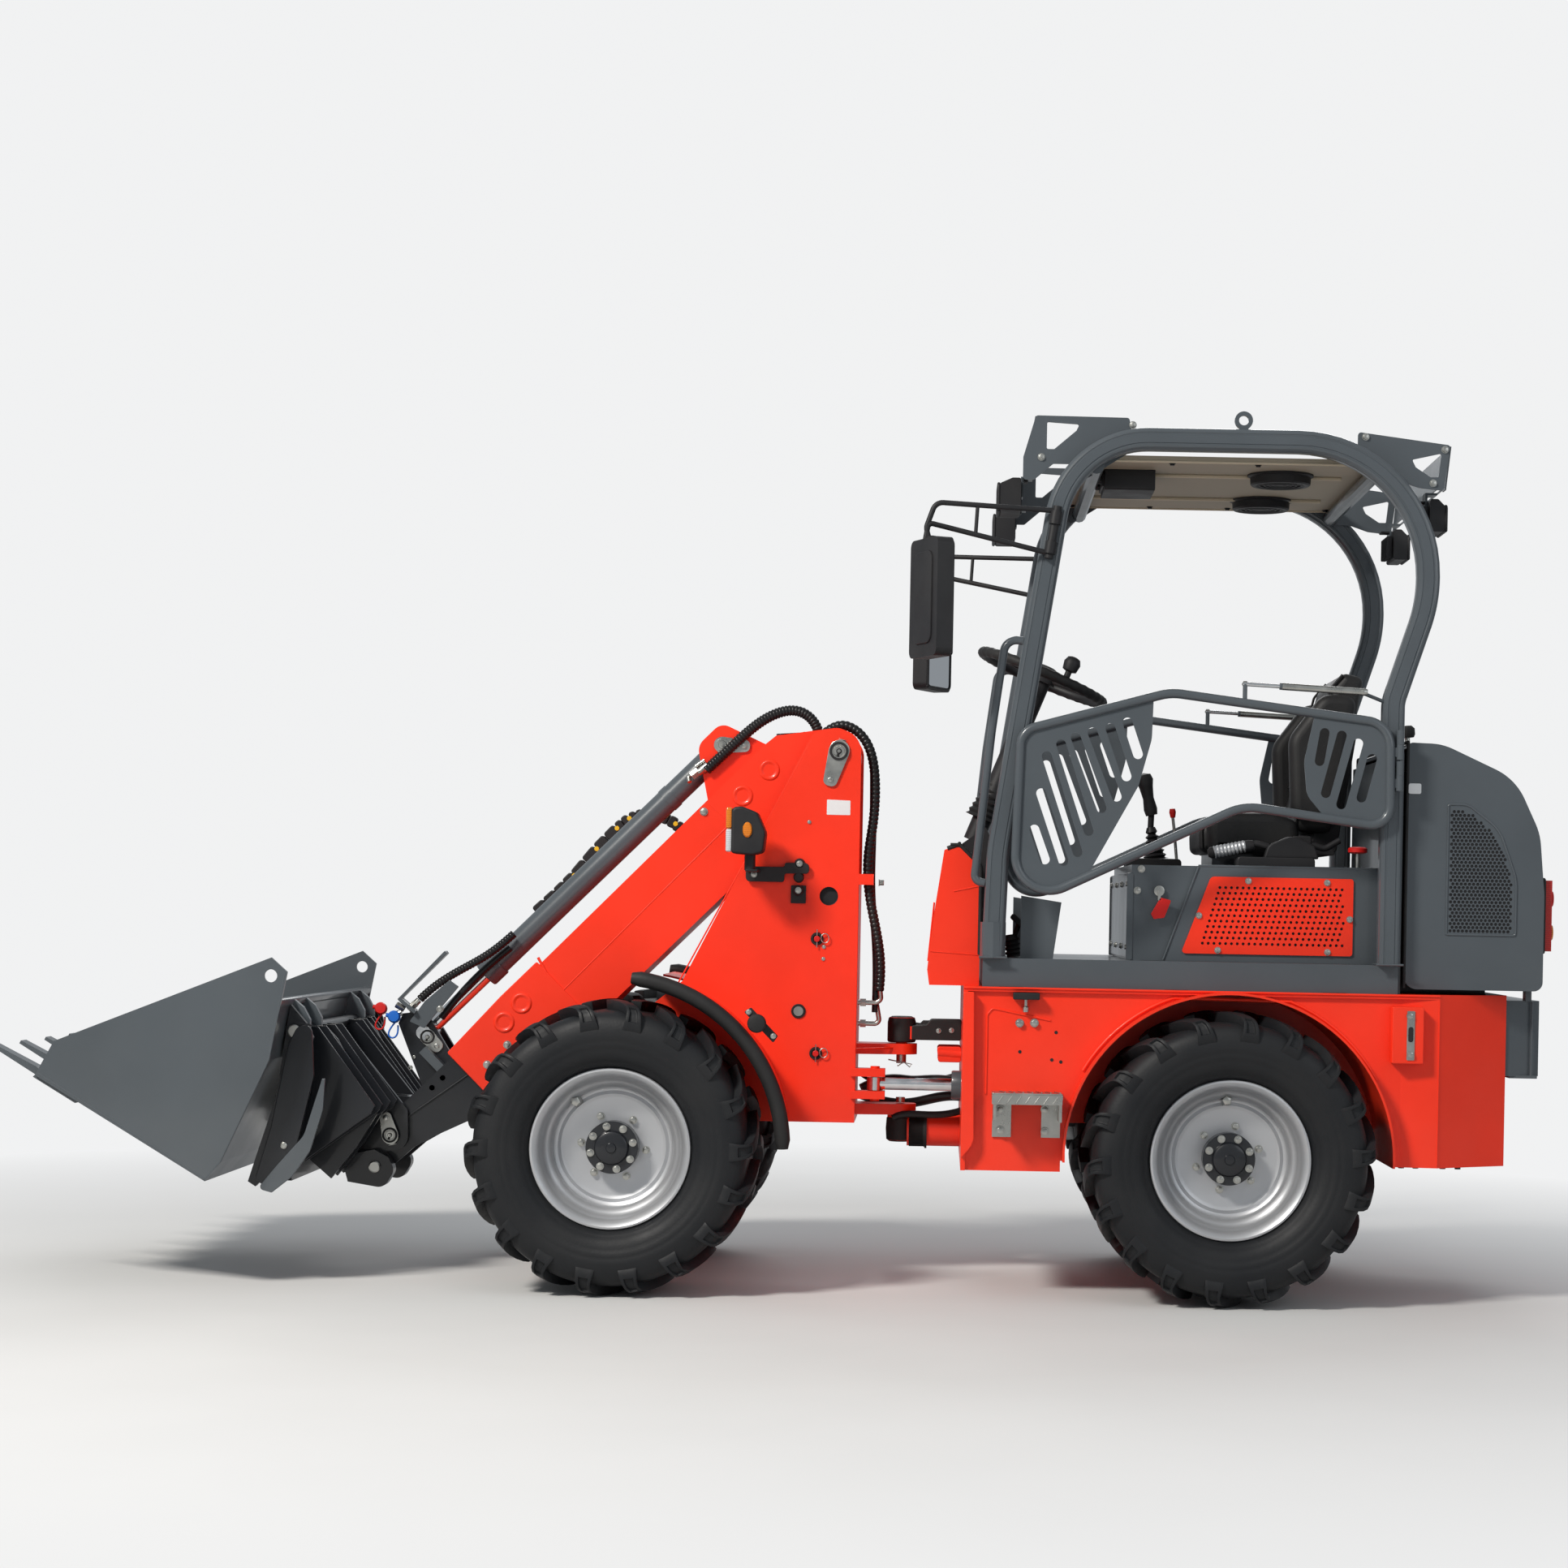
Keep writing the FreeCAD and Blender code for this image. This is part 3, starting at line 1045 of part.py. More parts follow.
inner.pad("side", -70, 70, [(-600, d.inner_top - 1), (-600, 141.5), (-530, 141.5), (-530, d.inner_top - 1)])
inner.both("Pocket", "side", d.inner_half - d.inner_wall - 1, d.inner_half + 1,
           circles=[(-d.tool_pivot_s, d.tool_pivot_n, d.tool_pin + d.slack)])
inner.both("Pad", "side", 46, 62, [
    (-1372, d.inner_top - 4), (-1340, 270), (-1351, 296), (-1387, 324), (-1415, 313),
    (-1492, d.inner_top - 4)])
inner.both("Pocket", "side", 45, 63, circles=[(-d.tele_front, d.tele_height, d.tele_pin + d.slack)])
on_boom(inner.body)

rod = Piece("telescope_rod")
rod.turn([(-d.tele_front + 30, 0), (-d.tele_front + 30, d.tele_rod), (-480, d.tele_rod), (-480, 0)])
rod.pad("side", -40, 40, circles=[(-d.tele_front, 0, 34)])
rod.pad("side", -70, 70, circles=[(-d.tele_front, 0, d.tele_pin)])
above_boom(rod)

# Couplers on the nose: a grey guard plate with two capped quick couplers
couplers = Piece("couplers")
couplers.pad("side", -100, -66, [(-1400, d.inner_top), (-1400, 210), (-1425, 210), (-1425, d.inner_top)])
on_boom(couplers.body)

# Tool carrier and bucket, drawn where they hang
tool_x = pivot_x - (d.tool_pivot_s + d.tool_pivot_n) * sine(d.boom_drop)
tool_z = pivot_z - (d.tool_pivot_s - d.tool_pivot_n) * sine(d.boom_drop)
d.add(carrier_half=480, carrier_plate=15, hook_bar=17.5, crank_in=24, crank_plate=14, tilt_pin=14, tilt_eye_thick=22)
carrier = Piece("tool_carrier")


def carrier_side(low_lug):
    lug = [(45, 68, 20), (48, -40, 40), (-20, -48)] if low_lug else [(-10, 66), (-60, -20)]
    return [(-148, 300), (-120, 270)] + lug + [(-130, -110), (-188, -60), (-200, 280)]


for inside in (105, 190, 275):
    carrier.both("Pad", "side", inside, inside + d.carrier_plate, carrier_side(inside == 105))
carrier.pad("side", -d.carrier_half, d.carrier_half, box(-212, -100, -196, 290))
carrier.pad("side", -d.carrier_half - 20, d.carrier_half + 20, circles=[(-192, 299, d.hook_bar)])
carrier.both("Pad", "side", d.carrier_half, d.carrier_half + 20, [
    (-203, 369), (-163, 323), (-143, 283), (-163, 183), (-178, 83), (-228, -47), (-288, -115),
    (-308, -102), (-288, -37), (-238, 123), (-210, 323)])
carrier.both("Pad", "side", 118, 160, [(-39, -40), (0, -60), (20, -95, 30), (-10, -146, 30), (-110, -130), (-130, -60)])
carrier.both("Pad", "side", d.crank_in, d.crank_in + d.crank_plate, [
    (-212, -40), (-212, 60), (-60, 105), (56, 100, 28), (50, -30, 24), (-60, -40)])
carrier.both("Pad", "side", d.tilt_eye_thick + 0.5, d.crank_in + d.crank_plate + 6,
             circles=[(27.3, 75.1, d.tilt_pin)])
carrier.pad("side", -130, 130, circles=[(0, 0, d.tool_pin)])
carrier.place(tool_x, 0, tool_z)

d.add(bucket_half=620, bucket_side=10, bucket_skin=8, tooth_plate=24)
bucket = Piece("bucket")
side_outline = [(-2254, 553), (-2206, 643), (-1642, 872), (-1600, 835), (-1643, 605), (-1765, 335), (-1805, 284)]


def from_tool(points):
    return [(x - tool_x.value, z - tool_z.value) for x, z in points]


bucket.both("Pad", "side", d.bucket_half - d.bucket_side, d.bucket_half, from_tool(side_outline))
bucket.pad("side", -d.bucket_half + d.bucket_side, d.bucket_half - d.bucket_side, from_tool([
    (-2254, 553), (-1805, 284), (-1765, 335), (-1643, 605), (-1618, 760), (-1627, 762), (-1652, 607),
    (-1774, 339), (-1806, 296), (-2249, 562)]))
for middle in (112, 336, 560):
    bucket.both("Pad", "side", middle - d.tooth_plate, middle + d.tooth_plate, from_tool([
        (-2376, 622), (-2372, 630), (-2262, 574), (-2236, 552), (-2150, 500), (-2154, 490), (-2256, 548)]))
for middle in (300, 450):
    bucket.both("Pad", "side", middle - 10, middle + 10, from_tool([
        (-1634, 668), (-1619, 762), (-1590, 738), (-1572, 705), (-1572, 668)]))
bucket.both("Pocket", "side", 280, 470, circles=[
    (-1604 - tool_x.value, 676 - tool_z.value, d.hook_bar + d.slack)])
bucket.both("Pocket", "side", d.bucket_half - d.bucket_side - 1, d.bucket_half + 1, circles=[
    (-1643 - tool_x.value, 824 - tool_z.value, 17)])
bucket.place(tool_x, 0, tool_z)

# Lift cylinder: between the mast plates, from the base up to the boom's underside
d.add(lift_barrel=42, lift_rod=22, lift_gland=620, lift_rod_length=560)
lift_eye_x = pivot_x - (d.lift_eye_s - d.lift_eye_n) * sine(d.boom_drop)
lift_eye_z = pivot_z - (d.lift_eye_s + d.lift_eye_n) * sine(d.boom_drop)
lift_pitch = bearing(lift_eye_z - d.lift_foot_z, -d.lift_foot_x - lift_eye_x)
barrel = Piece("lift_barrel")
barrel.turn([(-d.lift_gland, d.lift_rod + d.rod_slack), (-d.lift_gland, d.lift_barrel),
             (-30, d.lift_barrel), (-30, 0), (-70, 0), (-70, d.lift_rod + d.rod_slack)])
barrel.pad("side", -d.lift_lug_in + 1, d.lift_lug_in - 1, circles=[(0, 0, 40)])
barrel.pad("side", -d.lift_lug_out - 4, d.lift_lug_out + 4, circles=[(0, 0, d.lift_pin)])
barrel.place(-d.lift_foot_x, 0, d.lift_foot_z, lift_pitch)
lift = Piece("lift_rod")
lift.turn([(20, 0), (20, d.lift_rod), (d.lift_rod_length, d.lift_rod), (d.lift_rod_length, 0)])
lift.pad("side", -d.lift_eye_thick, d.lift_eye_thick, circles=[(0, 0, 38)])
lift.place(lift_eye_x, 0, lift_eye_z, lift_pitch)

# Tilt cylinder: inside the nose, from the inner boom's floor to the middle crank
d.add(tilt_foot_s=1060, tilt_foot_n=40, tilt_eye_s=1562.5, tilt_eye_n=132.8, tilt_barrel=30,
      tilt_rod=15, tilt_gland=300, tilt_rod_length=330)


def from_pivot(s, n):
    return pivot_x - (s + n) * sine(d.boom_drop), pivot_z - (s - n) * sine(d.boom_drop)


tilt_foot_x, tilt_foot_z = from_pivot(d.tilt_foot_s, d.tilt_foot_n)
tilt_eye_x, tilt_eye_z = from_pivot(d.tilt_eye_s, d.tilt_eye_n)
tilt_pitch = bearing(tilt_eye_z - tilt_foot_z, tilt_foot_x - tilt_eye_x)
tilt_tube = Piece("tilt_barrel")
tilt_tube.turn([(-d.tilt_gland, d.tilt_rod + d.rod_slack), (-d.tilt_gland, d.tilt_barrel),
                (-20, d.tilt_barrel), (-20, 0), (-50, 0), (-50, d.tilt_rod + d.rod_slack)])
tilt_tube.pad("side", -24, 24, circles=[(0, 0, 28)])
tilt_tube.pad("side", -d.inner_half + d.inner_wall + d.slack, d.inner_half - d.inner_wall - d.slack, circles=[(0, 0, d.tilt_pin)])
tilt_tube.place(tilt_foot_x, 0, tilt_foot_z, tilt_pitch)
tilt = Piece("tilt_rod")
tilt.turn([(10, 0), (10, d.tilt_rod), (d.tilt_rod_length, d.tilt_rod), (d.tilt_rod_length, 0)])
tilt.pad("side", -d.tilt_eye_thick, d.tilt_eye_thick, circles=[(0, 0, 26)])
tilt.place(tilt_eye_x, 0, tilt_eye_z, tilt_pitch)

# Steering cylinder: lies on the left between the frames
d.add(steer_gland=358, steer_rod_length=350)
steer = Piece("steer_barrel")
steer.turn([(-d.steer_gland, d.steer_rod + d.rod_slack), (-d.steer_gland, d.steer_barrel),
            (-24, d.steer_barrel), (-24, 0), (-60, 0), (-60, d.steer_rod + d.rod_slack)])
steer.pad("top", -d.steer_eye_half, d.steer_eye_half, circles=[(0, 0, 34)])
steer.pad("top", -62, 62, circles=[(0, 0, d.steer_pin)])
steer.place(d.steer_pivot_x, -d.steer_side, d.steer_height)
push = Piece("steer_rod")
push.turn([(14, 0), (14, d.steer_rod), (d.steer_rod_length, d.steer_rod), (d.steer_rod_length, 0)])
push.pad("top", -d.steer_eye_thick, d.steer_eye_thick, circles=[(0, 0, 22)])
push.place(-d.steer_eye_x, -d.steer_side, d.steer_height)


# Writing out: every sub-part has to be sound before any file is written
doc.recompute()
for thing in doc.Objects:
    if "Invalid" in thing.State or "Error" in thing.State:
        raise RuntimeError(f"{thing.Name} failed: {thing.State}")
for name, thing in nodes.items():
    if thing.Shape.isNull() or not thing.Shape.isValid() or not thing.Shape.Solids:
        raise RuntimeError(f"{name} has no sound shape")
for name, thing in nodes.items():
    thing.Shape.exportStep(f"parts/{name}.step")
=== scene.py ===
"""A small wheel loader, hinged in the middle, with an open cab, a telescopic boom and a toothed bucket."""

import json
import math

import bmesh
import bpy
from mathutils import Matrix, Vector


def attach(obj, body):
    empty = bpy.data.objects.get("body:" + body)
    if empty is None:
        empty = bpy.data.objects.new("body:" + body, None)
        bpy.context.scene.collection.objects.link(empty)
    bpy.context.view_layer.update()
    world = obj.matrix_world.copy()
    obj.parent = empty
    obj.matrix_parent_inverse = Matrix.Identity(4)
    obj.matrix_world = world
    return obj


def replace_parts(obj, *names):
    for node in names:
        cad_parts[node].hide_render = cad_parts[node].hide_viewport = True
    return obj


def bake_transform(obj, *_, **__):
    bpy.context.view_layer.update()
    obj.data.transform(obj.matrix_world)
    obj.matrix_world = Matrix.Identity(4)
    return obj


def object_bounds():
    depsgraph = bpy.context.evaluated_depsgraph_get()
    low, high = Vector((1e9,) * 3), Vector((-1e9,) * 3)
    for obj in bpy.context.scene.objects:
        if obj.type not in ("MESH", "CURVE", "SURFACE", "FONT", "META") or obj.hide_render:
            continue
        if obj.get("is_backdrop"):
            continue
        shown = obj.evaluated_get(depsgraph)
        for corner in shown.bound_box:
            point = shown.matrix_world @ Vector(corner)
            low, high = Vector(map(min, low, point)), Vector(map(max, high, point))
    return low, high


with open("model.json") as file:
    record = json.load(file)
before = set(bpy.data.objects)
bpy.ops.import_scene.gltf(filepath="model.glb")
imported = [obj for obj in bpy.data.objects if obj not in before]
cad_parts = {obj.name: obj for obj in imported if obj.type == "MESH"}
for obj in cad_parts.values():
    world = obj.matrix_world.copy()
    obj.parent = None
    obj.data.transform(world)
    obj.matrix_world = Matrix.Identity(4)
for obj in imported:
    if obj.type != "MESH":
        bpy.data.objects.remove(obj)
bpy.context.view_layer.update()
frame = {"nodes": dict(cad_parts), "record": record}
nodes = frame["nodes"]

# Camera
# The loader is seen square from its left side, from the height of a standing person's chest.
# The photograph leans a little, so the camera is rolled by as much.
lens = bpy.data.cameras.new("camera")
camera = bpy.data.objects.new("camera", lens)
bpy.context.collection.objects.link(camera)
bpy.context.scene.camera = camera
camera.location = (0.425, -8.4, 1.03)
camera.rotation_euler = (math.radians(90), math.radians(-1.1), 0)
lens.sensor_width = 36
lens.lens = 68.4
lens.shift_x = -0.0994
lens.shift_y = 0.0802
bpy.context.scene.view_settings.view_transform = "Standard"

# Studio
# A wide pale floor that ends in a backdrop of the same tone, a large soft lamp high on the left in
# front as the sun is, a weak one from the right and one behind, so that tubes get a light edge.
world = bpy.data.worlds.new("studio")
world.use_nodes = True
bpy.context.scene.world = world
air = world.node_tree
sky = air.nodes["Background"]
backdrop = air.nodes.new("ShaderNodeBackground")
backdrop.inputs["Color"].default_value = (0.88, 0.885, 0.89, 1)
sky.inputs["Color"].default_value = (0.9, 0.95, 1.0, 1)
sky.inputs["Strength"].default_value = 0.42
ray = air.nodes.new("ShaderNodeLightPath")
seen = air.nodes.new("ShaderNodeMath")
seen.operation = "MAXIMUM"
choose = air.nodes.new("ShaderNodeMixShader")
air.links.new(ray.outputs["Is Camera Ray"], seen.inputs[0])
air.links.new(ray.outputs["Is Transmission Ray"], seen.inputs[1])
air.links.new(seen.outputs[0], choose.inputs["Fac"])
air.links.new(sky.outputs[0], choose.inputs[1])
air.links.new(backdrop.outputs[0], choose.inputs[2])
air.links.new(choose.outputs[0], air.nodes["World Output"].inputs["Surface"])


def soft_lamp(name, place, width, watts, colour):
    lamp = bpy.data.lights.new(name, "AREA")
    lamp.shape = "RECTANGLE"
    lamp.size = width
    lamp.size_y = width * 0.7
    lamp.energy = watts
    lamp.color = colour
    hung = bpy.data.objects.new(name, lamp)
    bpy.context.collection.objects.link(hung)
    hung.location = place
    hung.rotation_euler = (Vector((0.2, 0, 0.9)) - Vector(place)).to_track_quat("-Z", "Y").to_euler()


soft_lamp("sun_lamp", (-4.2, -5.5, 6.4), 1.6, 760, (1.0, 0.96, 0.90))
soft_lamp("fill_lamp", (5.5, -5.5, 3.6), 4.5, 60, (0.92, 0.96, 1.0))
soft_lamp("rear_lamp", (1.0, 6.0, 5.0), 4.0, 140, (1.0, 1.0, 1.0))
bpy.ops.mesh.primitive_circle_add(vertices=96, radius=38, fill_type="NGON", location=(0, 0, 0))
floor = bpy.context.object
floor.name = "studio_floor"
floor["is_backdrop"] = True


class Wire:
    """A socket of a material. Sums of wires and numbers add Math nodes, and node adds any other node."""

    def __init__(self, socket):
        self.socket = socket
        self.tree = socket.id_data

    def node(self, kind, settings=(), inputs=(), out=0):
        made = self.tree.nodes.new(kind)
        for key, value in dict(settings).items():
            if key == "stops":
                ends = made.color_ramp.elements
                while len(ends) < len(value):
                    ends.new(0.5)
                for end, (at_place, shade) in zip(ends, value):
                    end.position = at_place
                    end.color = (shade, shade, shade, 1)
            else:
                setattr(made, key, value)
        for key, value in dict(inputs).items():
            if isinstance(value, Wire):
                self.tree.links.new(value.socket, made.inputs[key])
            else:
                made.inputs[key].default_value = value
        return Wire(made.outputs[out])

    def sum(self, operation, a, b=0.0):
        return self.node("ShaderNodeMath", {"operation": operation}, {0: a, 1: b})

    def __add__(self, other):
        return self.sum("ADD", self, other)

    def __sub__(self, other):
        return self.sum("SUBTRACT", self, other)

    def __rsub__(self, other):
        return self.sum("SUBTRACT", other, self)

    def __mul__(self, other):
        return self.sum("MULTIPLY", self, other)

    __radd__ = __add__
    __rmul__ = __mul__

    def axes(self):
        split = self.node("ShaderNodeSeparateXYZ", (), {"Vector": self}).socket.node
        return tuple(Wire(socket) for socket in split.outputs)

    def limit(self, low, high):
        span = {"From Min": low, "From Max": high}
        return self.node("ShaderNodeMapRange", {"clamp": True}, {"Value": self, **span})

    def noise(self, scale, detail=2.0):
        return self.node("ShaderNodeTexNoise", (), {"Vector": self, "Scale": scale, "Detail": detail})

    def mixed(self, first, second):
        """The colour that is first where this wire is 0 and second where it is 1."""
        both = {"Factor": self, 6: first, 7: second}
        return self.node("ShaderNodeMix", {"data_type": "RGBA"}, both, 2)


def finish(name, colour, roughness, metallic=0.0, coat=0.0):
    """A new material's shader, and the wire of its object coordinates."""
    made = bpy.data.materials.new(name)
    made.use_nodes = True
    shader = made.node_tree.nodes["Principled BSDF"]
    shader.inputs["Base Color"].default_value = (*colour, 1)
    shader.inputs["Roughness"].default_value = roughness
    shader.inputs["Metallic"].default_value = metallic
    shader.inputs["Coat Weight"].default_value = coat
    shader.inputs["Coat Roughness"].default_value = 0.08
    shader.inputs["Specular IOR Level"].default_value = 0.3
    made.diffuse_color = (*colour, 1)
    spot = made.node_tree.nodes.new("ShaderNodeTexCoord")
    return made, shader, Wire(spot.outputs["Object"])


def wire_to(shader, **wires):
    for socket, wire in wires.items():
        name = socket.replace("_", " ").title()
        shader.id_data.links.new(wire.socket, shader.inputs[name])


def bumped(shader, height, strength, distance):
    relief = height.node("ShaderNodeBump", (), {"Height": height, "Strength": strength, "Distance": distance})
    wire_to(shader, normal=relief)


def wear(place, scale):
    """Slow patches from 0 to 1, for the way a surface is cleaner in one place than in another."""
    return place.noise(scale, 4.0).limit(0.35, 0.65)


# Floor finish
# A pale matt floor with hardly any tone of its own, which fades to the backdrop's colour farther out.
floor_paint, shader, place = finish("studio_floor_paint", (0.62, 0.62, 0.61), 0.85)
wire_to(shader, base_color=wear(place, 1.3).mixed((0.62, 0.62, 0.615, 1), (0.60, 0.60, 0.595, 1)))
glow = place.node("ShaderNodeEmission", (), {"Color": (0.88, 0.885, 0.89, 1)})
reach = place.node("ShaderNodeVectorMath", {"operation": "LENGTH"}, {0: place}, 1).limit(1.9, 4.6)
fade = reach * place.node("ShaderNodeLightPath")
faded = place.node("ShaderNodeMixShader", (), {"Fac": fade, 1: Wire(shader.outputs[0]), 2: glow})
floor_tree = floor_paint.node_tree
floor_tree.links.new(faded.socket, floor_tree.nodes["Material Output"].inputs["Surface"])
floor.data.materials.append(floor_paint)


def sprayed(name, colour, roughness, coat, dust, peel=0.25, metallic=0.0):
    """A sprayed and baked paint: a fine orange peel, slow patches of tone, and a film of road dust low down."""
    made, shader, place = finish(name, colour, roughness, metallic, coat)
    low = 1 - place.axes()[2].limit(0.1, 1.1)
    film = low * dust * (wear(place, 5.0) * 0.7 + 0.3) + wear(place, 2.2) * dust * 0.25
    pale = tuple(min(1.0, c * 1.05 + 0.002) for c in colour)
    deep = tuple(c * 0.94 for c in colour)
    tone = wear(place, 3.0).mixed((*deep, 1), (*pale, 1))
    wire_to(shader, base_color=film.mixed(tone, (0.30, 0.26, 0.21, 1)))
    wire_to(shader, roughness=film * 0.45 + wear(place, 9.0) * 0.05 + roughness)
    bumped(shader, place.noise(420.0, 1.0) + place.noise(90.0, 1.0) * 0.6, peel, 0.0006)
    return made


# Paints and other finishes
# Bright red-orange and blue-grey gloss paint, black paint on the hitch, and silver on the wheels.
red_paint = sprayed("red_paint", (0.86, 0.028, 0.004), 0.36, 0.12, 0.05)
grey_paint = sprayed("grey_paint", (0.066, 0.078, 0.089), 0.28, 0.45, 0.04, 0.12)
black_paint = sprayed("black_paint", (0.006, 0.008, 0.012), 0.30, 0.30, 0.03, 0.12)
silver_paint = sprayed("silver_paint", (0.50, 0.51, 0.53), 0.36, 0.10, 0.05, 0.15, 0.7)
beige_trim = sprayed("beige_trim", (0.50, 0.42, 0.31), 0.62, 0.0, 0.05, 0.4)


def moulded(name, colour, roughness, grain, depth, dust=0.12):
    """Rubber or plastic with a moulded grain and a little dust."""
    made, shader, place = finish(name, colour, roughness)
    film = wear(place, 6.0) * dust
    wire_to(shader, base_color=film.mixed((*colour, 1), (0.16, 0.15, 0.135, 1)))
    wire_to(shader, roughness=wear(place, 11.0) * 0.12 + roughness)
    bumped(shader, place.noise(grain, 3.0), 0.5, depth)
    return made


tyre_rubber = moulded("tyre_rubber", (0.007, 0.008, 0.010), 0.50, 160.0, 0.0008, 0.03)
black_rubber = moulded("black_rubber", (0.010, 0.010, 0.011), 0.55, 300.0, 0.0006, 0.06)
hose_rubber = moulded("hose_rubber", (0.009, 0.009, 0.010), 0.30, 380.0, 0.0004, 0.05)
black_plastic = moulded("black_plastic", (0.012, 0.012, 0.014), 0.45, 700.0, 0.0004, 0.05)
black_vinyl = moulded("black_vinyl", (0.012, 0.012, 0.013), 0.46, 450.0, 0.0008, 0.05)


def plated(name, colour, roughness, scratch):
    """Bare or plated metal, with a fine grain that breaks its reflections."""
    made, shader, place = finish(name, colour, roughness, 1.0)
    tarnish = wear(place, 24.0)
    wire_to(shader, base_color=tarnish.mixed((*(c * 0.86 for c in colour), 1), (*colour, 1)))
    wire_to(shader, roughness=tarnish * 0.12 + roughness)
    bumped(shader, place.noise(520.0, 2.0), scratch, 0.0004)
    return made


zinc_steel = plated("zinc_steel", (0.48, 0.48, 0.45), 0.26, 0.25)
polished_rod = plated("polished_rod", (0.78, 0.79, 0.80), 0.10, 0.04)


def lens_plastic(name, colour, roughness=0.14):
    """Coloured lamp plastic with fine moulded ribs behind a gloss face."""
    made, shader, place = finish(name, colour, roughness, 0.0, 0.6)
    ribs = place.node("ShaderNodeTexWave", {"wave_type": "BANDS", "bands_direction": "Z"}, {
        "Vector": place, "Scale": 60.0, "Distortion": 0.4, "Detail": 1.0})
    wire_to(shader, base_color=ribs.mixed((*(c * 0.7 for c in colour), 1), (*colour, 1)))
    bumped(shader, ribs, 0.25, 0.001)
    return made


lamp_plastic = lens_plastic("lamp_plastic", (0.45, 0.012, 0.008))
amber_plastic = lens_plastic("amber_plastic", (0.70, 0.20, 0.01))
clear_plastic = lens_plastic("clear_plastic", (0.62, 0.64, 0.66))
bright_red = moulded("bright_red", (0.55, 0.010, 0.008), 0.35, 500.0, 0.0003, 0.03)
cap_blue = moulded("cap_blue", (0.01, 0.12, 0.50), 0.38, 500.0, 0.0003, 0.03)
dot_yellow = moulded("dot_yellow", (0.80, 0.50, 0.02), 0.45, 500.0, 0.0003, 0.03)
label_white = moulded("label_white", (0.72, 0.73, 0.74), 0.55, 200.0, 0.0002, 0.05)
finishes = {
    "red_paint": red_paint,
    "grey_paint": grey_paint,
    "black_paint": black_paint,
    "silver_paint": silver_paint,
    "tyre_rubber": tyre_rubber,
    "black_rubber": black_rubber,
    "hose_rubber": hose_rubber,
    "black_plastic": black_plastic,
    "black_vinyl": black_vinyl,
    "beige_trim": beige_trim,
    "lamp_plastic": lamp_plastic,
    "zinc_steel": zinc_steel,
    "polished_rod": polished_rod,
}
for part in frame["record"]["subparts"]:
    shape = nodes[part["node"]].data
    shape.materials.clear()
    shape.materials.append(finishes[part["material_slot"]])
finishes.update({
    "amber_plastic": amber_plastic,
    "clear_plastic": clear_plastic,
    "bright_red": bright_red,
    "cap_blue": cap_blue,
    "dot_yellow": dot_yellow,
    "label_white": label_white,
})
joint_ahead = 324


def at(x, y, z):
    """A place in metres, from millimetres with X counted from the joint between the two frames."""
    return Vector((x + joint_ahead, y, z)) / 1000


def alone(piece):
    bpy.ops.object.select_all(action="DESELECT")
    piece.select_set(True)
    bpy.context.view_layer.objects.active = piece


def settle(piece, name, paint, body, angle=32):
    """Puts a piece's place into its mesh, lays a finish on it and lets it ride on its body, if it has one."""
    alone(piece)
    if piece.type == "CURVE":
        bpy.ops.object.convert(target="MESH")
    bpy.ops.object.transform_apply(location=True, rotation=True, scale=True)
    bpy.ops.object.shade_smooth_by_angle(angle=math.radians(angle))
    piece.name = name
    piece.data.materials.clear()
    piece.data.materials.append(finishes[paint])
    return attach(piece, body) if body else piece


def joined(pieces):
    """One piece of several."""
    bpy.ops.object.select_all(action="DESELECT")
    for piece in pieces:
        piece.select_set(True)
    bpy.context.view_layer.objects.active = pieces[0]
    if any(piece.type == "CURVE" for piece in pieces):
        bpy.ops.object.convert(target="MESH")
    bpy.ops.object.transform_apply(location=True, rotation=True, scale=True)
    if len(pieces) > 1:
        bpy.ops.object.join()
    return bpy.context.object


def line_of(points, closed=False, flat=False):
    """A curve of straight runs through places in metres."""
    line = bpy.data.curves.new("line", "CURVE")
    line.dimensions = "2D" if flat else "3D"
    spline = line.splines.new("POLY")
    spline.points.add(len(points) - 1)
    for point, place in zip(spline.points, points):
        point.co = (*place, 1)
    spline.use_cyclic_u = closed
    piece = bpy.data.objects.new("line", line)
    bpy.context.collection.objects.link(piece)
    return piece


def turned(profile, sides, place=(0, 0, 0), along=(0, 0, 1), closed=False):
    """A lathe piece: the profile holds places along its axis and radii, in millimetres."""
    piece = line_of([(radius / 1000, 0, run / 1000) for run, radius in profile], closed)
    alone(piece)
    bpy.ops.object.convert(target="MESH")
    bpy.ops.object.mode_set(mode="EDIT")
    bpy.ops.mesh.select_all(action="SELECT")
    bpy.ops.mesh.spin(steps=sides, angle=math.tau, center=(0, 0, 0), axis=(0, 0, 1))
    bpy.ops.mesh.select_all(action="SELECT")
    bpy.ops.mesh.remove_doubles(threshold=0.00001)
    bpy.ops.mesh.normals_make_consistent(inside=False)
    bpy.ops.object.mode_set(mode="OBJECT")
    piece = bpy.context.object
    piece.location = place
    piece.rotation_mode = "QUATERNION"
    piece.rotation_quaternion = Vector(along).to_track_quat("Z", "Y")
    return piece


def spread(first, places, along=None):
    """Copies of a small piece at several places in millimetres, joined. The first one itself goes."""
    copies = []
    for place in places:
        copy = first.copy()
        copy.data = first.data.copy()
        bpy.context.collection.objects.link(copy)
        copy.location = at(*place)
        if along:
            copy.rotation_mode = "QUATERNION"
            copy.rotation_quaternion = Vector(along).to_track_quat("Z", "Y")
        copies.append(copy)
    bpy.data.objects.remove(first)
    return joined(copies)


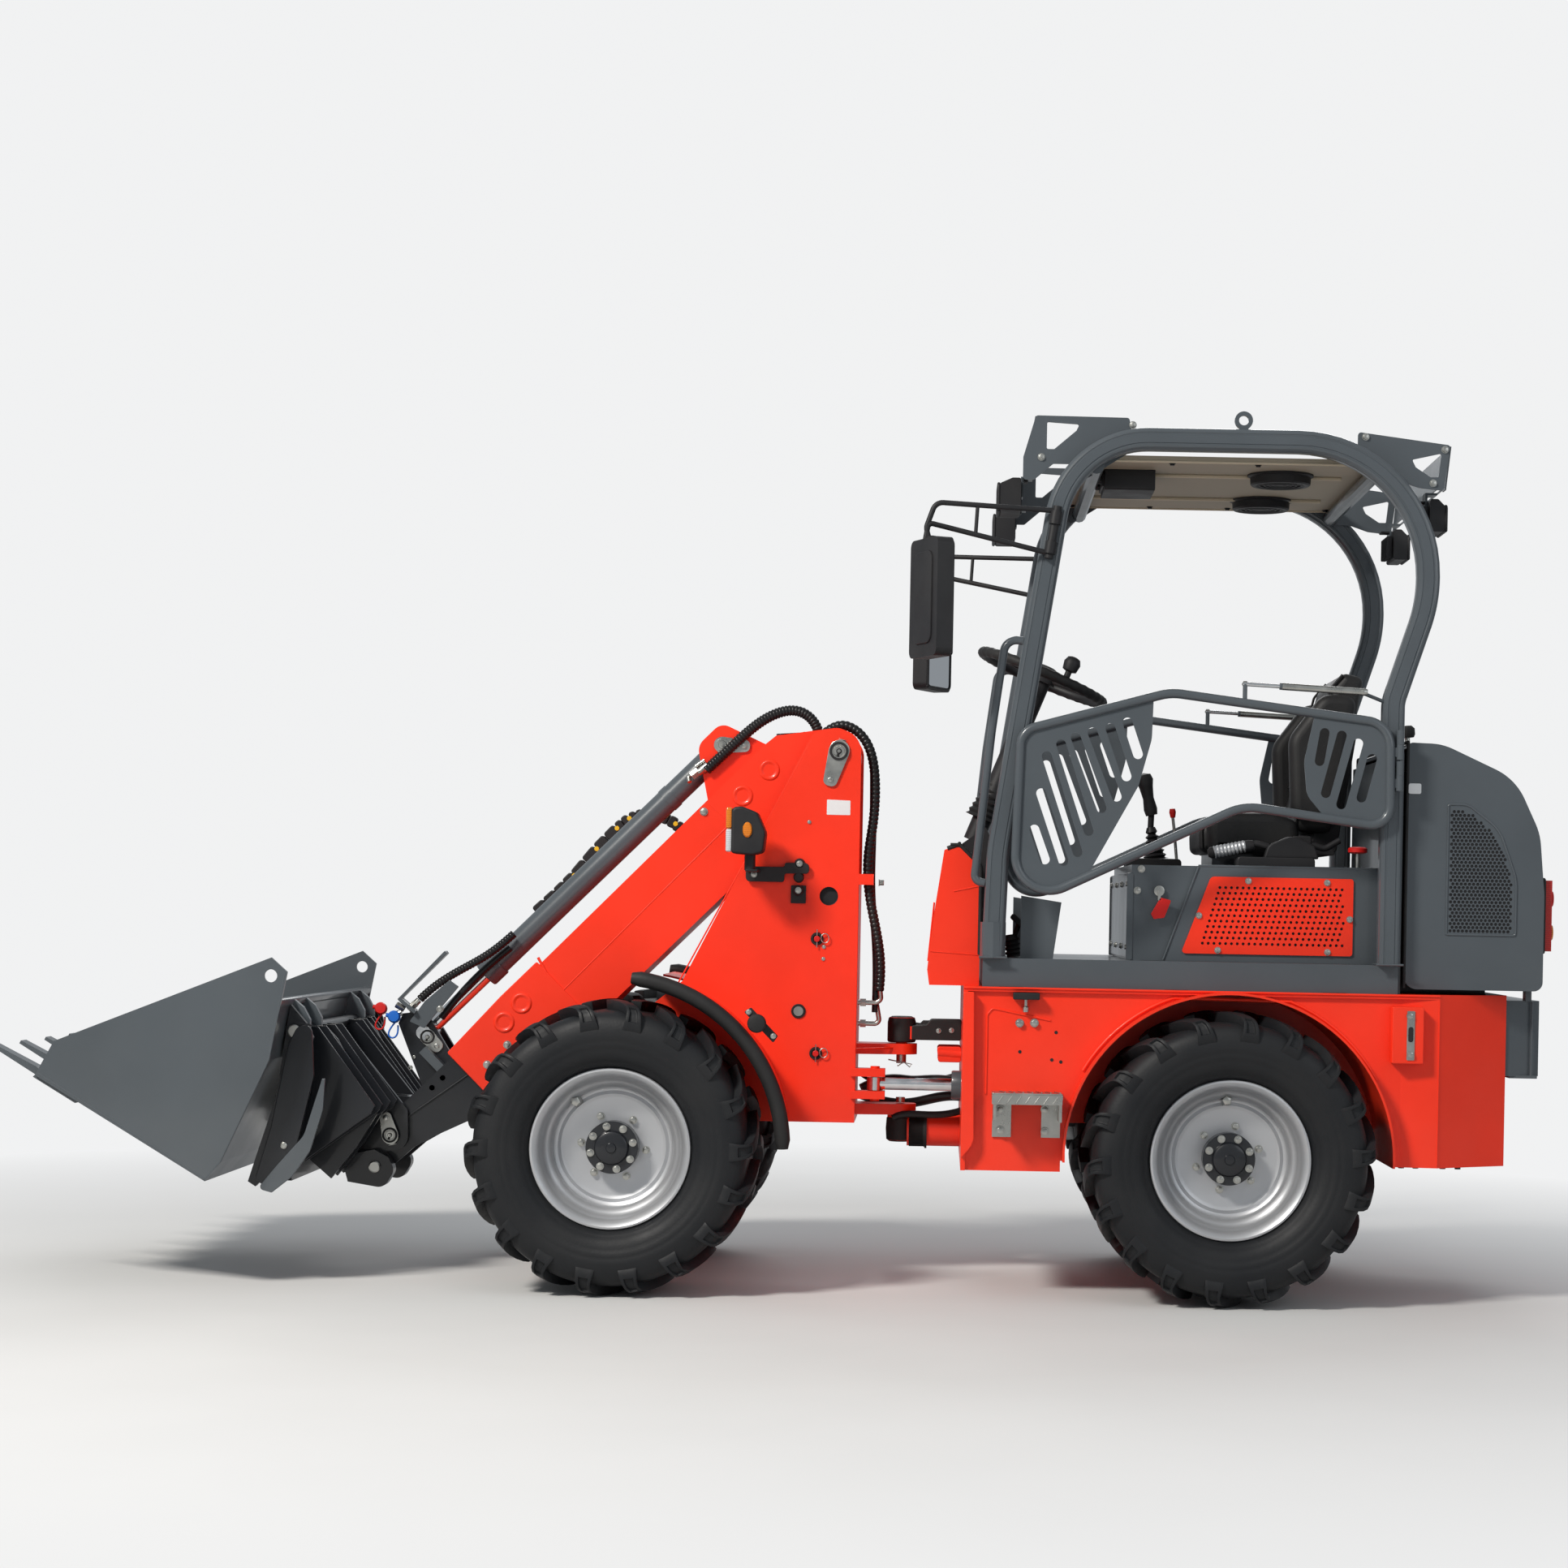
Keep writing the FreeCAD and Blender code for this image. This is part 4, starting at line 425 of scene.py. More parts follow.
def bolt(size, length=0.0):
    """A hexagon head on a washer. Its foot lies on the ground plane."""
    head = 0.62 * size + length
    bpy.ops.mesh.primitive_cylinder_add(vertices=6, radius=size / 1000, depth=head / 1000,
                                        location=(0, 0, (head / 2 + 1.6) / 1000))
    hexagon = bpy.context.object
    bpy.ops.object.mode_set(mode="EDIT")
    bpy.ops.mesh.bevel(offset=0.08 * size / 1000, segments=2)
    bpy.ops.object.mode_set(mode="OBJECT")
    washer = turned([(0, 0), (0, size * 1.28), (1.8, size * 1.25), (2, 0)], 20)
    return joined([hexagon, washer])


# Wheels
# Wide tractor tyres with eighteen bars a side that lean forward to the middle, on silver rims with a
# rolled lip. Each hub is a black drum held by eight bolts, and six nuts hold the disc.
tyre_profile = [
    (0, 362), (120, 361), (158, 359), (174, 353), (185, 343), (192, 329), (195.5, 312), (196.5, 300),
    (196, 288), (194.2, 284), (194.6, 280), (192, 268), (189.6, 264), (189, 258), (184, 245), (177, 233),
    (174, 231), (171, 226), (163, 219), (157, 217), (152, 213), (146, 206), (140, 196),
    (128, 214), (150, 240), (172, 285), (166, 325), (140, 342), (0, 344),
]
bar_rows = [
    (-7, 386, -58, 28), (20, 387.5, -55, 30), (60, 388, -43, 32), (100, 387.5, -26, 33), (135, 385.5, -8, 34),
    (160, 382, 6, 35), (180, 376, 18, 36), (191, 366, 25, 38), (198, 352, 28, 43), (199.5, 338, 29, 49),
    (198.5, 325, 29, 56), (195, 314, 29, 60),
]
bar_count = 18


def tread_bar():
    """One bar: a grid laid along its rows, thickened inwards, its outer end sunk in the middle."""
    rows, columns = len(bar_rows), 6
    bpy.ops.mesh.primitive_grid_add(x_subdivisions=columns - 1, y_subdivisions=rows - 1, size=1)
    bar = bpy.context.object
    for i, corner in enumerate(bar.data.vertices):
        across, radius, middle, width = bar_rows[i // columns]
        around = (middle + width * ((i % columns) / (columns - 1) - 0.5)) / 388
        corner.co = (math.sin(around) * radius / 1000, -across / 1000, math.cos(around) * radius / 1000)
    bar.data.flip_normals()
    bpy.ops.object.mode_set(mode="EDIT")
    bpy.ops.mesh.select_mode(type="FACE")
    bpy.ops.mesh.select_all(action="DESELECT")
    bpy.ops.object.mode_set(mode="OBJECT")
    for face in bar.data.polygons:
        face.select = 6 <= face.index // (columns - 1) <= 8 and 1 <= face.index % (columns - 1) <= 3
    bpy.ops.object.mode_set(mode="EDIT")
    bpy.ops.mesh.inset(thickness=0.0018, depth=-0.007)
    bpy.ops.mesh.select_all(action="SELECT")
    bpy.ops.mesh.normals_make_consistent(inside=False)
    bpy.ops.object.mode_set(mode="OBJECT")
    outward = bar.data.polygons[2].normal.z > 0
    thick = bar.modifiers.new("thick", "SOLIDIFY")
    thick.thickness = 0.03
    thick.offset = -1 if outward else 1
    soft = bar.modifiers.new("soft", "BEVEL")
    soft.width = 0.0022
    soft.segments = 2
    soft.limit_method = "ANGLE"
    soft.angle_limit = math.radians(50)
    alone(bar)
    bpy.ops.object.modifier_apply(modifier="thick")
    bpy.ops.object.modifier_apply(modifier="soft")
    return bar


def left_tyre():
    half = [(run, radius) for run, radius in tyre_profile]
    other = [(-run, radius) for run, radius in reversed(half[1:-1])]
    carcass = turned(half + other, 96, closed=True)
    carcass.rotation_quaternion = Vector((0, -1, 0)).to_track_quat("Z", "Y")
    bars = []
    bar = tread_bar()
    for side in (1, -1):
        for i in range(bar_count):
            copy = bar.copy()
            copy.data = bar.data.copy()
            bpy.context.collection.objects.link(copy)
            turn = math.tau * (i + (0 if side > 0 else 0.5)) / bar_count
            copy.rotation_euler = (0, turn, 0)
            copy.scale = (1, side, 1)
            bars.append(copy)
    bpy.data.objects.remove(bar)
    whole = joined([carcass] + bars)
    alone(whole)
    bpy.ops.object.mode_set(mode="EDIT")
    bpy.ops.mesh.select_all(action="SELECT")
    bpy.ops.mesh.normals_make_consistent(inside=False)
    bpy.ops.object.mode_set(mode="OBJECT")
    return whole


rim_profile = [
    (-158, 208), (-156, 212), (-150, 213), (-146, 208), (-143, 199), (-134, 192), (-112, 190), (-104, 184),
    (-90, 165), (50, 165), (56, 163), (86, 165), (92, 169), (98, 178), (104, 185), (114, 189), (134, 191),
    (142, 198), (145, 205), (149, 210), (154, 212), (158, 210), (159, 205), (155, 199), (149, 194),
    (142, 188), (134, 185), (114, 183), (107, 179), (101, 172), (95, 164), (86, 159), (70, 158.5), (66, 154),
    (64, 148), (66, 143), (68, 139), (66, 134), (64, 128), (64, 60), (52, 60), (52, 150), (-90, 159),
    (-106, 179), (-114, 184), (-134, 186), (-148, 194), (-155, 201),
]
rim = turned(rim_profile, 96, closed=True)
hub = turned([(60, 0), (60, 66), (64, 69), (100, 69), (113, 69), (115, 67.5), (115, 46), (118, 44), (126, 42),
              (129, 36), (129, 14), (133, 12), (134, 0)], 64)
tyre = left_tyre()
hub_bolts = [(57.5 * math.cos(a), 57.5 * math.sin(a)) for a in (math.radians(20 + 45 * i) for i in range(8))]
disc_nuts = [(86 * math.cos(a), 86 * math.sin(a)) for a in (math.radians(60 * i) for i in range(6))]
guard = turned([(0, 0), (0, 17), (34, 13), (36, 10), (36, 0)], 5)
bolts = joined([spread(bolt(8.2), [(x - joint_ahead, 0, z) for x, z in hub_bolts], (0, -1, 0)),
                spread(guard, [(-110 - joint_ahead, 46, 108)], (0, -1, 0)),
                spread(bolt(8.6, 5), [(x - joint_ahead, 51, z) for x, z in disc_nuts], (0, -1, 0))])


def wheel_piece(source, name, paint, body, hub_place, side, reach, turn):
    """A copy of one piece of the left wheel, turned a little, and mirrored for the right side."""
    piece = source.copy()
    piece.data = source.data.copy()
    bpy.context.collection.objects.link(piece)
    if source.rotation_mode == "QUATERNION" and source in (rim, hub):
        alone(piece)
        piece.rotation_quaternion = Vector((0, -1, 0)).to_track_quat("Z", "Y")
        bpy.ops.object.transform_apply(location=False, rotation=True, scale=False)
    piece.data.transform(Matrix.Translation((0, -reach / 1000, 0)))
    piece.data.transform(Matrix.Rotation(turn, 4, "Y"))
    if side > 0:
        piece.data.transform(Matrix.Scale(-1, 4, (0, 1, 0)))
        piece.data.flip_normals()
    piece.data.transform(Matrix.Translation(hub_place))
    return settle(piece, name, paint, body, 40)


for corner, axle, side, turn in (("front_left", -750, -1, 0.1), ("front_right", -750, 1, 0.4),
                                 ("rear_left", 874, -1, 0.75), ("rear_right", 874, 1, 0.2)):
    body = "wheel_" + corner
    middle = at(axle, side * 453, 388)
    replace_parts(wheel_piece(tyre, "tread_" + corner, "tyre_rubber", body, middle, side, 0, turn), "tyre_" + corner)
    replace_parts(wheel_piece(rim, "wheel_disc_" + corner, "silver_paint", body, middle, side, 0, turn),
                "rim_" + corner)
    wheel_piece(hub, "hub_" + corner, "black_paint", body, middle, side, 0, turn)
    wheel_piece(bolts, "wheel_bolts_" + corner, "zinc_steel", body, middle, side, 115, turn)
for source in (tyre, rim, hub, bolts):
    bpy.data.objects.remove(source)

# Roll-over frame
# One steel section with lengthwise grooves is bent round each side of the cab. Two cross bars carry
# the roof, and the ears of the door hinges are welded to the rear legs.


def rounded(points, bend, steps=6):
    """Places with their corners rounded to a bend. A fourth number is the corner's own bend."""
    line = [Vector(points[0][:3])]
    for i in range(1, len(points) - 1):
        corner = Vector(points[i][:3])
        before = (Vector(points[i - 1][:3]) - corner).normalized()
        after = (Vector(points[i + 1][:3]) - corner).normalized()
        own = points[i][3] if len(points[i]) > 3 else bend
        half = before.angle(after) / 2
        reach = own / math.tan(half)
        middle = corner + (before + after).normalized() * own / math.sin(half)
        start, end = corner + before * reach - middle, corner + after * reach - middle
        for k in range(steps + 1):
            line.append(middle + start.normalized().slerp(end.normalized(), k / steps) * own)
    return line + [Vector(points[-1][:3])]


def tube(points, radius, bend=0.0, section=None, steps=6, smooth=False):
    """A bar or hose along places in millimetres. A smooth one runs in one sweep past the places."""
    line = bpy.data.curves.new("tube", "CURVE")
    line.dimensions = "3D"
    places = [at(*place) for place in (rounded(points, bend, steps) if bend else points)]
    spline = line.splines.new("NURBS" if smooth else "POLY")
    spline.points.add(len(places) - 1)
    for point, place in zip(spline.points, places):
        point.co = (*place, 1)
    if smooth:
        spline.order_u = 4
        spline.use_endpoint_u = True
        spline.resolution_u = 10
    if section:
        line.bevel_mode = "OBJECT"
        line.bevel_object = section
    else:
        line.bevel_depth = radius / 1000
        line.bevel_resolution = 4
    line.use_fill_caps = True
    piece = bpy.data.objects.new("tube", line)
    bpy.context.collection.objects.link(piece)
    return piece


def mirrored(pieces):
    """The pieces of the left side and their mirror images on the right, as one piece."""
    whole = joined(pieces)
    other = whole.copy()
    other.data = whole.data.copy()
    bpy.context.collection.objects.link(other)
    other.data.transform(Matrix.Scale(-1, 4, (0, 1, 0)))
    other.data.flip_normals()
    return joined([whole, other])


section_line = []
for quarter in range(4):
    for place in ((30, -11), (30, 11), (28.2, 12.4), (28.2, 15.6), (29.3, 17), (27.8, 22), (25, 25), (22, 27.8),
                  (17, 29.3), (15.6, 28.2), (12.4, 28.2)):
        turn = quarter * math.pi / 2
        section_line.append((
            (place[0] * math.cos(turn) - place[1] * math.sin(turn)) / 1000,
            (place[0] * math.sin(turn) + place[1] * math.cos(turn)) / 1000, 0))
grooved = line_of(section_line, closed=True, flat=True)
side_bar = tube([
    (243, -500, 905.3), (252, -500, 1185, 600), (422, -500, 2287), (1378, -500, 2287, 350),
    (1378, -500, 1868, 400), (1292, -500, 1604, 110), (1292, -500, 905.3)], 30, 245, grooved, 16)
alone(side_bar)
bpy.ops.object.convert(target="MESH")
bpy.data.objects.remove(grooved)
foot = tube([(243, -500, 905.3), (243, -500, 1000)], 34)
weld = [tube([(x - 36, -500 + y, 907), (x + 36, -500 + y, 907)], 3) for x in (243, 1292) for y in (-30, 30)]
ears = []
for z in (1406.4, 1488.4):
    ears.append(tube([(1306, -549, z), (1306, -549, z + 38)], 10))
    ears.append(tube([(1304, -506, z + 19), (1305, -547, z + 19)], 7))
strut_arm = tube([(1284, -506, 1597), (1213, -540, 1620)], 5)
side = mirrored([side_bar, foot, strut_arm] + weld + ears)
cross = [tube([(x, -498, 2215), (x, 498, 2215)], 21) for x in (494, 1240)]
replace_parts(settle(joined([side] + cross), "cab_frame", "grey_paint", "chassis", 25), "rollover_frame")


# Door plates and gas struts
# The doors keep their cut plates. Each has a bright gas strut over it, whose rod ends in a ball.
for sign, body in ((-1, "left_door"), (1, "right_door")):
    y = sign * 549
    rod = tube([(888, y, 1640.3), (1000, y, 1635)], 5.4)
    settle(rod, f"strut_rod_{body}", "polished_rod", body)
    sleeve = tube([(992, y, 1635.5), (1203, y, 1625.3)], 9.4)
    ball = turned([(-11, 0), (-11, 7), (-4, 10), (4, 10), (11, 7), (11, 0)], 24, at(1206, y, 1625), (1, 0, 0))
    settle(joined([sleeve, ball]), f"strut_sleeve_{body}", "zinc_steel", body)
    head = turned([(0, 0), (0, 9), (5, 9), (7, 7), (7, 0)], 6, at(894, y - sign * 3, 1640), (0, sign, 0))
    settle(head, f"strut_bolt_{body}", "zinc_steel", body)


def outline_curve(outline, bend):
    """The rounded outline of a plate, as pairs in metres. A corner's third number is its own bend."""
    flat = [(a, b, 0, own[0] if own else bend) for a, b, *own in outline]
    ring = rounded([flat[-1]] + flat + [flat[0]], bend or 0.01, 5)[1:-1]
    return [place.xy / 1000 for place in ring]


planes = {"side": (math.pi / 2, 0, 0), "top": (0, 0, 0), "front": (math.pi / 2, 0, math.pi / 2)}


def plate(outline, level, thick, holes=(), plane="side", bend=3.0, edge=0.8, sides=20):
    """A plate with rounded corners and softened edges. "side" plates stand along X and Z, "top" ones lie
    along X and Y, and "front" ones stand along Y and Z. Holes are two places and a radius."""
    line = bpy.data.curves.new("plate", "CURVE")
    line.dimensions = "2D"
    line.fill_mode = "BOTH"
    line.extrude = (thick / 2 - edge) / 1000
    line.bevel_depth = edge / 1000
    line.bevel_resolution = 1 if edge < 5 else 5
    line.offset = -edge / 1000
    rings = [outline_curve(outline, bend)]
    for a, b, radius in holes:
        spots = [math.tau * k / sides for k in range(sides)]
        rings.append([Vector((a + radius * math.cos(t), b + radius * math.sin(t))) / 1000 for t in spots])
    for ring in rings:
        spline = line.splines.new("POLY")
        spline.points.add(len(ring) - 1)
        for point, place in zip(spline.points, ring):
            point.co = (place.x, place.y, 0, 1)
        spline.use_cyclic_u = True
    piece = bpy.data.objects.new("plate", line)
    bpy.context.collection.objects.link(piece)
    piece.rotation_euler = planes[plane]
    middle = level + thick / 2
    piece.location = {"side": at(0, middle, 0), "top": at(0, 0, middle), "front": at(middle, 0, 0)}[plane]
    return piece


# Mast plates
# The red mast carries the boom's pin in zinc cups with a lock plate, a plug, two lock pins with rings,
# a bare white sticker and the red lug that holds the hoses.


def pin_plate(pivot, lock, level, thick, big=26, small=15):
    """A teardrop plate around a pin's end, its bolt and the pin's face with a grease nipple."""
    (px, pz), (lx, lz) = pivot, lock
    away = Vector((lx - px, lz - pz)).normalized()
    across = Vector((-away.y, away.x))
    corners = [Vector((px, pz)) - away * big + across * big, Vector((lx, lz)) + away * small + across * small,
               Vector((lx, lz)) + away * small - across * small, Vector((px, pz)) - away * big - across * big]
    bends = (big * 0.97, small * 0.9, small * 0.9, big * 0.97)
    out = -1 if level < 0 else 1
    low = level if out > 0 else level - thick
    teardrop = plate([(c.x, c.y, b) for c, b in zip(corners, bends)], low, thick)
    face = turned([(0, 0), (0, big * 0.78), (3, big * 0.74), (3, big * 0.5), (1.5, big * 0.44), (1.5, 5), (8, 4.5),
                   (8, 2.5), (12, 2), (12, 0)], 32, at(px, level + out * (thick - 0.5), pz), (0, out, 0))
    lock_bolt = spread(bolt(7.5), [(lx, level + out * (thick - 0.5), lz)], (0, out, 0))
    return [teardrop, face, lock_bolt]


pins = []
for level in (-156.2, 156.2):
    pins += pin_plate((-186, 1463), (-208, 1384), level, 7, 33, 18)
settle(joined(pins), "mast_pin_plates", "zinc_steel", "front")


def pin_rings_with_keyhole_shade(place, size, out, name, body):
    """The dark ring round a pin's end, with a black disc and slot of painted shade for the keyhole of its grease
    nipple.
    """
    x, level, z = place
    ring = turned([(0, size * 0.74), (0, size), (3.4, size), (3.4, size * 0.74)], 32, at(x, level, z), (0, out, 0),
                  closed=True)
    # The keyhole is not cut: a black disc and a black slot on the pin's face are painted shade.
    keyhole_shade = turned([(0, 0), (0, size * 0.3), (2, size * 0.3), (2, 0)], 20, at(x, level, z), (0, out, 0))
    keyslot_shade = tube([(x, level + out, z), (x - size * 0.15, level + out, z - size * 0.6)], size * 0.14)
    settle(joined([ring, keyhole_shade, keyslot_shade]), name, "black_rubber", body)


for side, out in (("left", -1), ("right", 1)):
    pin_rings_with_keyhole_shade((-186, out * 164, 1463), 26, out, f"mast_pin_ring_{side}", "front")
lock_pins = []
for x, z in ((-237, 943), (-235, 626)):
    lock_pins.append(turned([(0, 0), (0, 18), (6, 17), (6, 12), (2, 11), (2, 0)], 32, at(x, -156, z), (0, -1, 0)))
settle(joined(lock_pins), "lock_pin_washers", "black_rubber", "front")
split_rings = [tube([(x, -164, z - 24), (x, -164, z + 26)], 1.8) for x, z in ((-237, 943), (-235, 626))]
for x, z in ((-237, 943), (-235, 626)):
    ring = [(x + 22 + 11 * math.cos(t), -165, z + 2 + 13 * math.sin(t)) for t in
            (math.tau * k / 16 for k in range(17))]
    split_rings.append(tube(ring, 1.4))
settle(joined(split_rings), "lock_pin_rings", "zinc_steel", "front")
pin_bodies = [turned([(0, 0), (0, 8.5), (12, 8.5), (13, 7), (13, 0)], 20, at(x, -157, z), (0, -1, 0))
              for x, z in ((-237, 943), (-235, 626))]
settle(joined(pin_bodies), "lock_pins", "bright_red", "front")
plug = turned([(0, 0), (0, 20), (3, 20), (4.5, 18.5), (4.5, 15.5), (2.5, 14.5), (2.5, 0)], 40,
              at(-285, -156, 742), (0, -1, 0))
settle(plug, "mast_plug", "black_rubber", "front")
disc = turned([(0, 0), (0, 14), (3.4, 13.5), (3.8, 0)], 32, at(-285, -157, 742), (0, -1, 0))
settle(disc, "mast_plug_disc", "zinc_steel", "front")
# A black cup lines the hole in the mast's side; its black is painted shade for the dark inside of the hole.
liner = turned([(0, 24.6), (-12, 24.6), (-12, 0), (-14, 0), (-14, 25.5), (0.5, 25.5)], 40,
               at(-207, -156.4, 1062), (0, -1, 0), closed=True)
settle(liner, "mast_hole_shade_cup", "black_plastic", "front")
screws = spread(bolt(4.2), [(-218, -156, 921), (-219, -156, 888), (-265, -156, 1266)], (0, -1, 0))
settle(screws, "mast_screws", "zinc_steel", "front")
sticker = plate([(-217, 1329), (-217, 1287), (-152, 1287), (-152, 1327)], -156.6, 0.6, edge=0.1, bend=2)
settle(sticker, "bare_sticker", "label_white", "front")
lug_bolt = spread(bolt(8, 8), [(-70, -140, 1102)], (1, 0, 0))
settle(lug_bolt, "hose_lug_bolt", "zinc_steel", "front")
seams = [tube([(-620, -154, 812), (-262, -154, 1495)], 2.2), tube([(-126, -154, 500), (-126, -154, 1440)], 2.2),
         tube([(-130, -146, 640), (-24, -46, 640)], 2.5), tube([(-600, -154, 440), (-130, -154, 440)], 2.5)]
settle(joined(seams), "mast_weld_seams", "red_paint", "front")

# Mast lamps
# A black lamp stands on each side of the mast on a bent arm: a lens in front, amber over clear, and a
# round amber marker in its side.
lamp_cases = []
for side, sign in (("left", -1), ("right", 1)):
    shell = plate([(-467, 1172, 10), (-467, 1296, 14), (-440, 1300, 30), (-398, 1284, 16), (-374, 1230, 30),
                   (-380, 1176, 14), (-410, 1168, 12)], -350 if sign < 0 else 250, 100, edge=7)
    stem = tube([(-418, sign * 297, 1172), (-418, sign * 297, 1128)], 15)
    arm = plate([(-437, 1098, 12), (-437, 1140, 12), (-330, 1140, 6), (-330, 1152, 6), (-262, 1152, 12),
                 (-262, 1122, 10), (-330, 1122, 6), (-330, 1098, 8)], sign * 170 - 4, 8, edge=1.5)
    reach = plate([(-430, min(sign * 164, sign * 312)), (-396, min(sign * 164, sign * 312)),
                   (-396, max(sign * 164, sign * 312)), (-430, max(sign * 164, sign * 312))], 1124, 6, plane="top")
    spacers = [turned([(0, 0), (0, 15), (14, 14), (18, 11), (18, 0)], 24, at(x, sign * 156, z), (0, sign, 0))
               for x, z in ((-289, 1150), (-291, 1076), (-291, 1112))]
    hanger = plate([(-312, 1040), (-312, 1090), (-270, 1090), (-270, 1040)], sign * 160 - 2.5, 5)
    lamp_cases += [shell, stem, arm, reach, hanger] + spacers
    clear = plate([(sign * 300 - 44, 1176), (sign * 300 + 44, 1176), (sign * 300 + 44, 1238),
                   (sign * 300 - 44, 1238)], -482, 16, plane="front", edge=4, bend=5)
    settle(clear, f"mast_lamp_clear_{side}", "clear_plastic", "front")
    amber = plate([(sign * 300 - 44, 1239), (sign * 300 + 44, 1239), (sign * 300 + 44, 1296),
                   (sign * 300 - 44, 1296)], -482, 16, plane="front", edge=4, bend=5)
    marker = turned([(0, 0), (0, 21), (3, 21), (7, 17), (9, 0)], 36, at(-423, sign * 349, 1236), (0, sign, 0))
    marker.scale = (0.62, 1, 1)
    settle(joined([amber, marker]), f"mast_lamp_amber_{side}", "amber_plastic", "front")
    heads = spread(bolt(7), [(-289, sign * 174, 1150), (-291, sign * 174, 1076), (-414, sign * 174, 1118)],
                   (0, sign, 0))
    settle(heads, f"mast_lamp_bolts_{side}", "zinc_steel", "front")
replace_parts(settle(joined(lamp_cases), "mast_lamp_cases", "black_plastic", "front"), "mast_lamps")

# Mudguard lips
# A thick rubber strip is pressed over the edge of each front mudguard, held by a round knob on a bracket.
strips = []
for y in (-560, 560):
    arc = [(-750 + 449 * math.cos(t), y, 388 + 449 * math.sin(t)) for t in
           (math.radians(84.5 - 3 * k) for k in range(29))]
    strip = tube(arc, 20.5)
    for k, point in enumerate(strip.data.splines[0].points):
        point.radius = 0.72 if k in (0, 28) else 1.0
    strips.append(strip)
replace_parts(settle(joined(strips), "mudguard_strips", "black_rubber", "front", 50), "fender_lips")
for side, sign in (("left", -1), ("right", 1)):
    knob = turned([(0, 0), (0, 24), (14, 25), (20, 22), (22, 17), (22, 0)], 36, at(-373, sign * 582, 723),
                  (0, sign, 0))
    foot = plate([(-408, 752), (-330, 672), (-318, 690), (-390, 764)], sign * 573 - 4, 8, edge=1.5)
    settle(joined([knob, foot]), f"mudguard_knob_{side}", "black_rubber", "front")
    heads = spread(bolt(6), [(-396, sign * 577, 752), (-330, sign * 577, 690)], (0, sign, 0))
    settle(heads, f"mudguard_bolts_{side}", "zinc_steel", "front")


# Boom
# A folded red box: a fold line along each side, round dimples pressed into the sides, two bolts near
# the front for the slide pads, a sleeve welded round the front end and a grey guard on top.


def on_boom(s, n):
    """X and Z of a place that lies s along the boom from its pivot, and n over its middle."""
    return -186 - (s + n) * 0.70711, 1463 - (s - n) * 0.70711


dimples = []
for x, z, side_at in ((-380, 1409, 119.5), (-453, 1336, 119.5), (-313, 1339, 119.5), (-1056, 748, 124.5),
                      (-1103, 694, 124.5)):
    for sign in (-1, 1):
        dimples.append(turned([(0, 0), (0.4, 16), (3.6, 21), (4.6, 24), (3.4, 27), (0, 30)], 40,
                              at(x, sign * side_at, z), (0, sign, 0)))
folds = []
for sign in (-1, 1):
    folds.append(tube([(-486, sign * 119, 1258), (-951, sign * 119, 776)], 2.2))
    folds.append(tube([(-486, sign * 119, 1258), (-547, sign * 119, 1312)], 1.6))
    folds.append(tube([(-1013, sign * 120, 876), (-924, sign * 120, 719)], 4))
settle(joined(dimples), "boom_dimples", "red_paint", "lift_arm", 60)
collar = [plate([on_boom(1150, 164), on_boom(1365, 154), on_boom(1365, -28), on_boom(1250, -68),
                 on_boom(1010, -68), on_boom(1010, 164)], y, 5, edge=1.6, bend=5) for y in (-125, 120)]
settle(joined(folds + collar), "boom_folds_and_collar", "red_paint", "lift_arm")
boom_heads = []
for sign in (-1, 1):
    boom_heads.append(spread(bolt(9), [(-1093, sign * 125, 632), (-1148, sign * 125, 576), (-560, sign * 120, 1290)],
                             (0, sign, 0)))
settle(joined(boom_heads), "boom_bolts", "zinc_steel", "lift_arm")
lugs = []
for level in (-54, 54):
    lugs += pin_plate((-516, 1480), (-455, 1478), level * 1.06, 5, 24, 15)
settle(joined(lugs), "boom_lug_plates", "zinc_steel", "lift_arm")
guard = [plate([(-364, 1494), (-364, 1512), (-206, 1524), (-206, 1504)], y, 4, edge=0.8) for y in (-92, 20)]
guard.append(plate([(-364, 1508), (-364, 1512), (-206, 1524), (-206, 1520)], -92, 116, edge=0.8, bend=1))
settle(joined(guard), "boom_guard", "grey_paint", "lift_arm")
settle(spread(bolt(6), [(-286, -92, 1512)], (0, -1, 0)), "boom_guard_bolt", "zinc_steel", "lift_arm")
nodes["telescope_barrel"].data.materials[0] = grey_paint
gland = turned([(0, 21.6), (0, 37), (3, 38.5), (48, 38.5), (52, 36), (52, 21.6)], 48,
               at(-1137.8, 0, 857.7), (-0.70711, 0, -0.70711), closed=True)
band = turned([(0, 34), (0, 36), (26, 36), (26, 34)], 48,
              at(-656.2, 0, 1339.3), (-0.70711, 0, -0.70711), closed=True)
settle(joined([gland, band]), "telescope_gland", "grey_paint", "lift_arm")

# Boom hoses
# Black hoses in a spiral guard, with plated ends. One arches over the boom's pivot and one runs from
# the mast's head down its back.


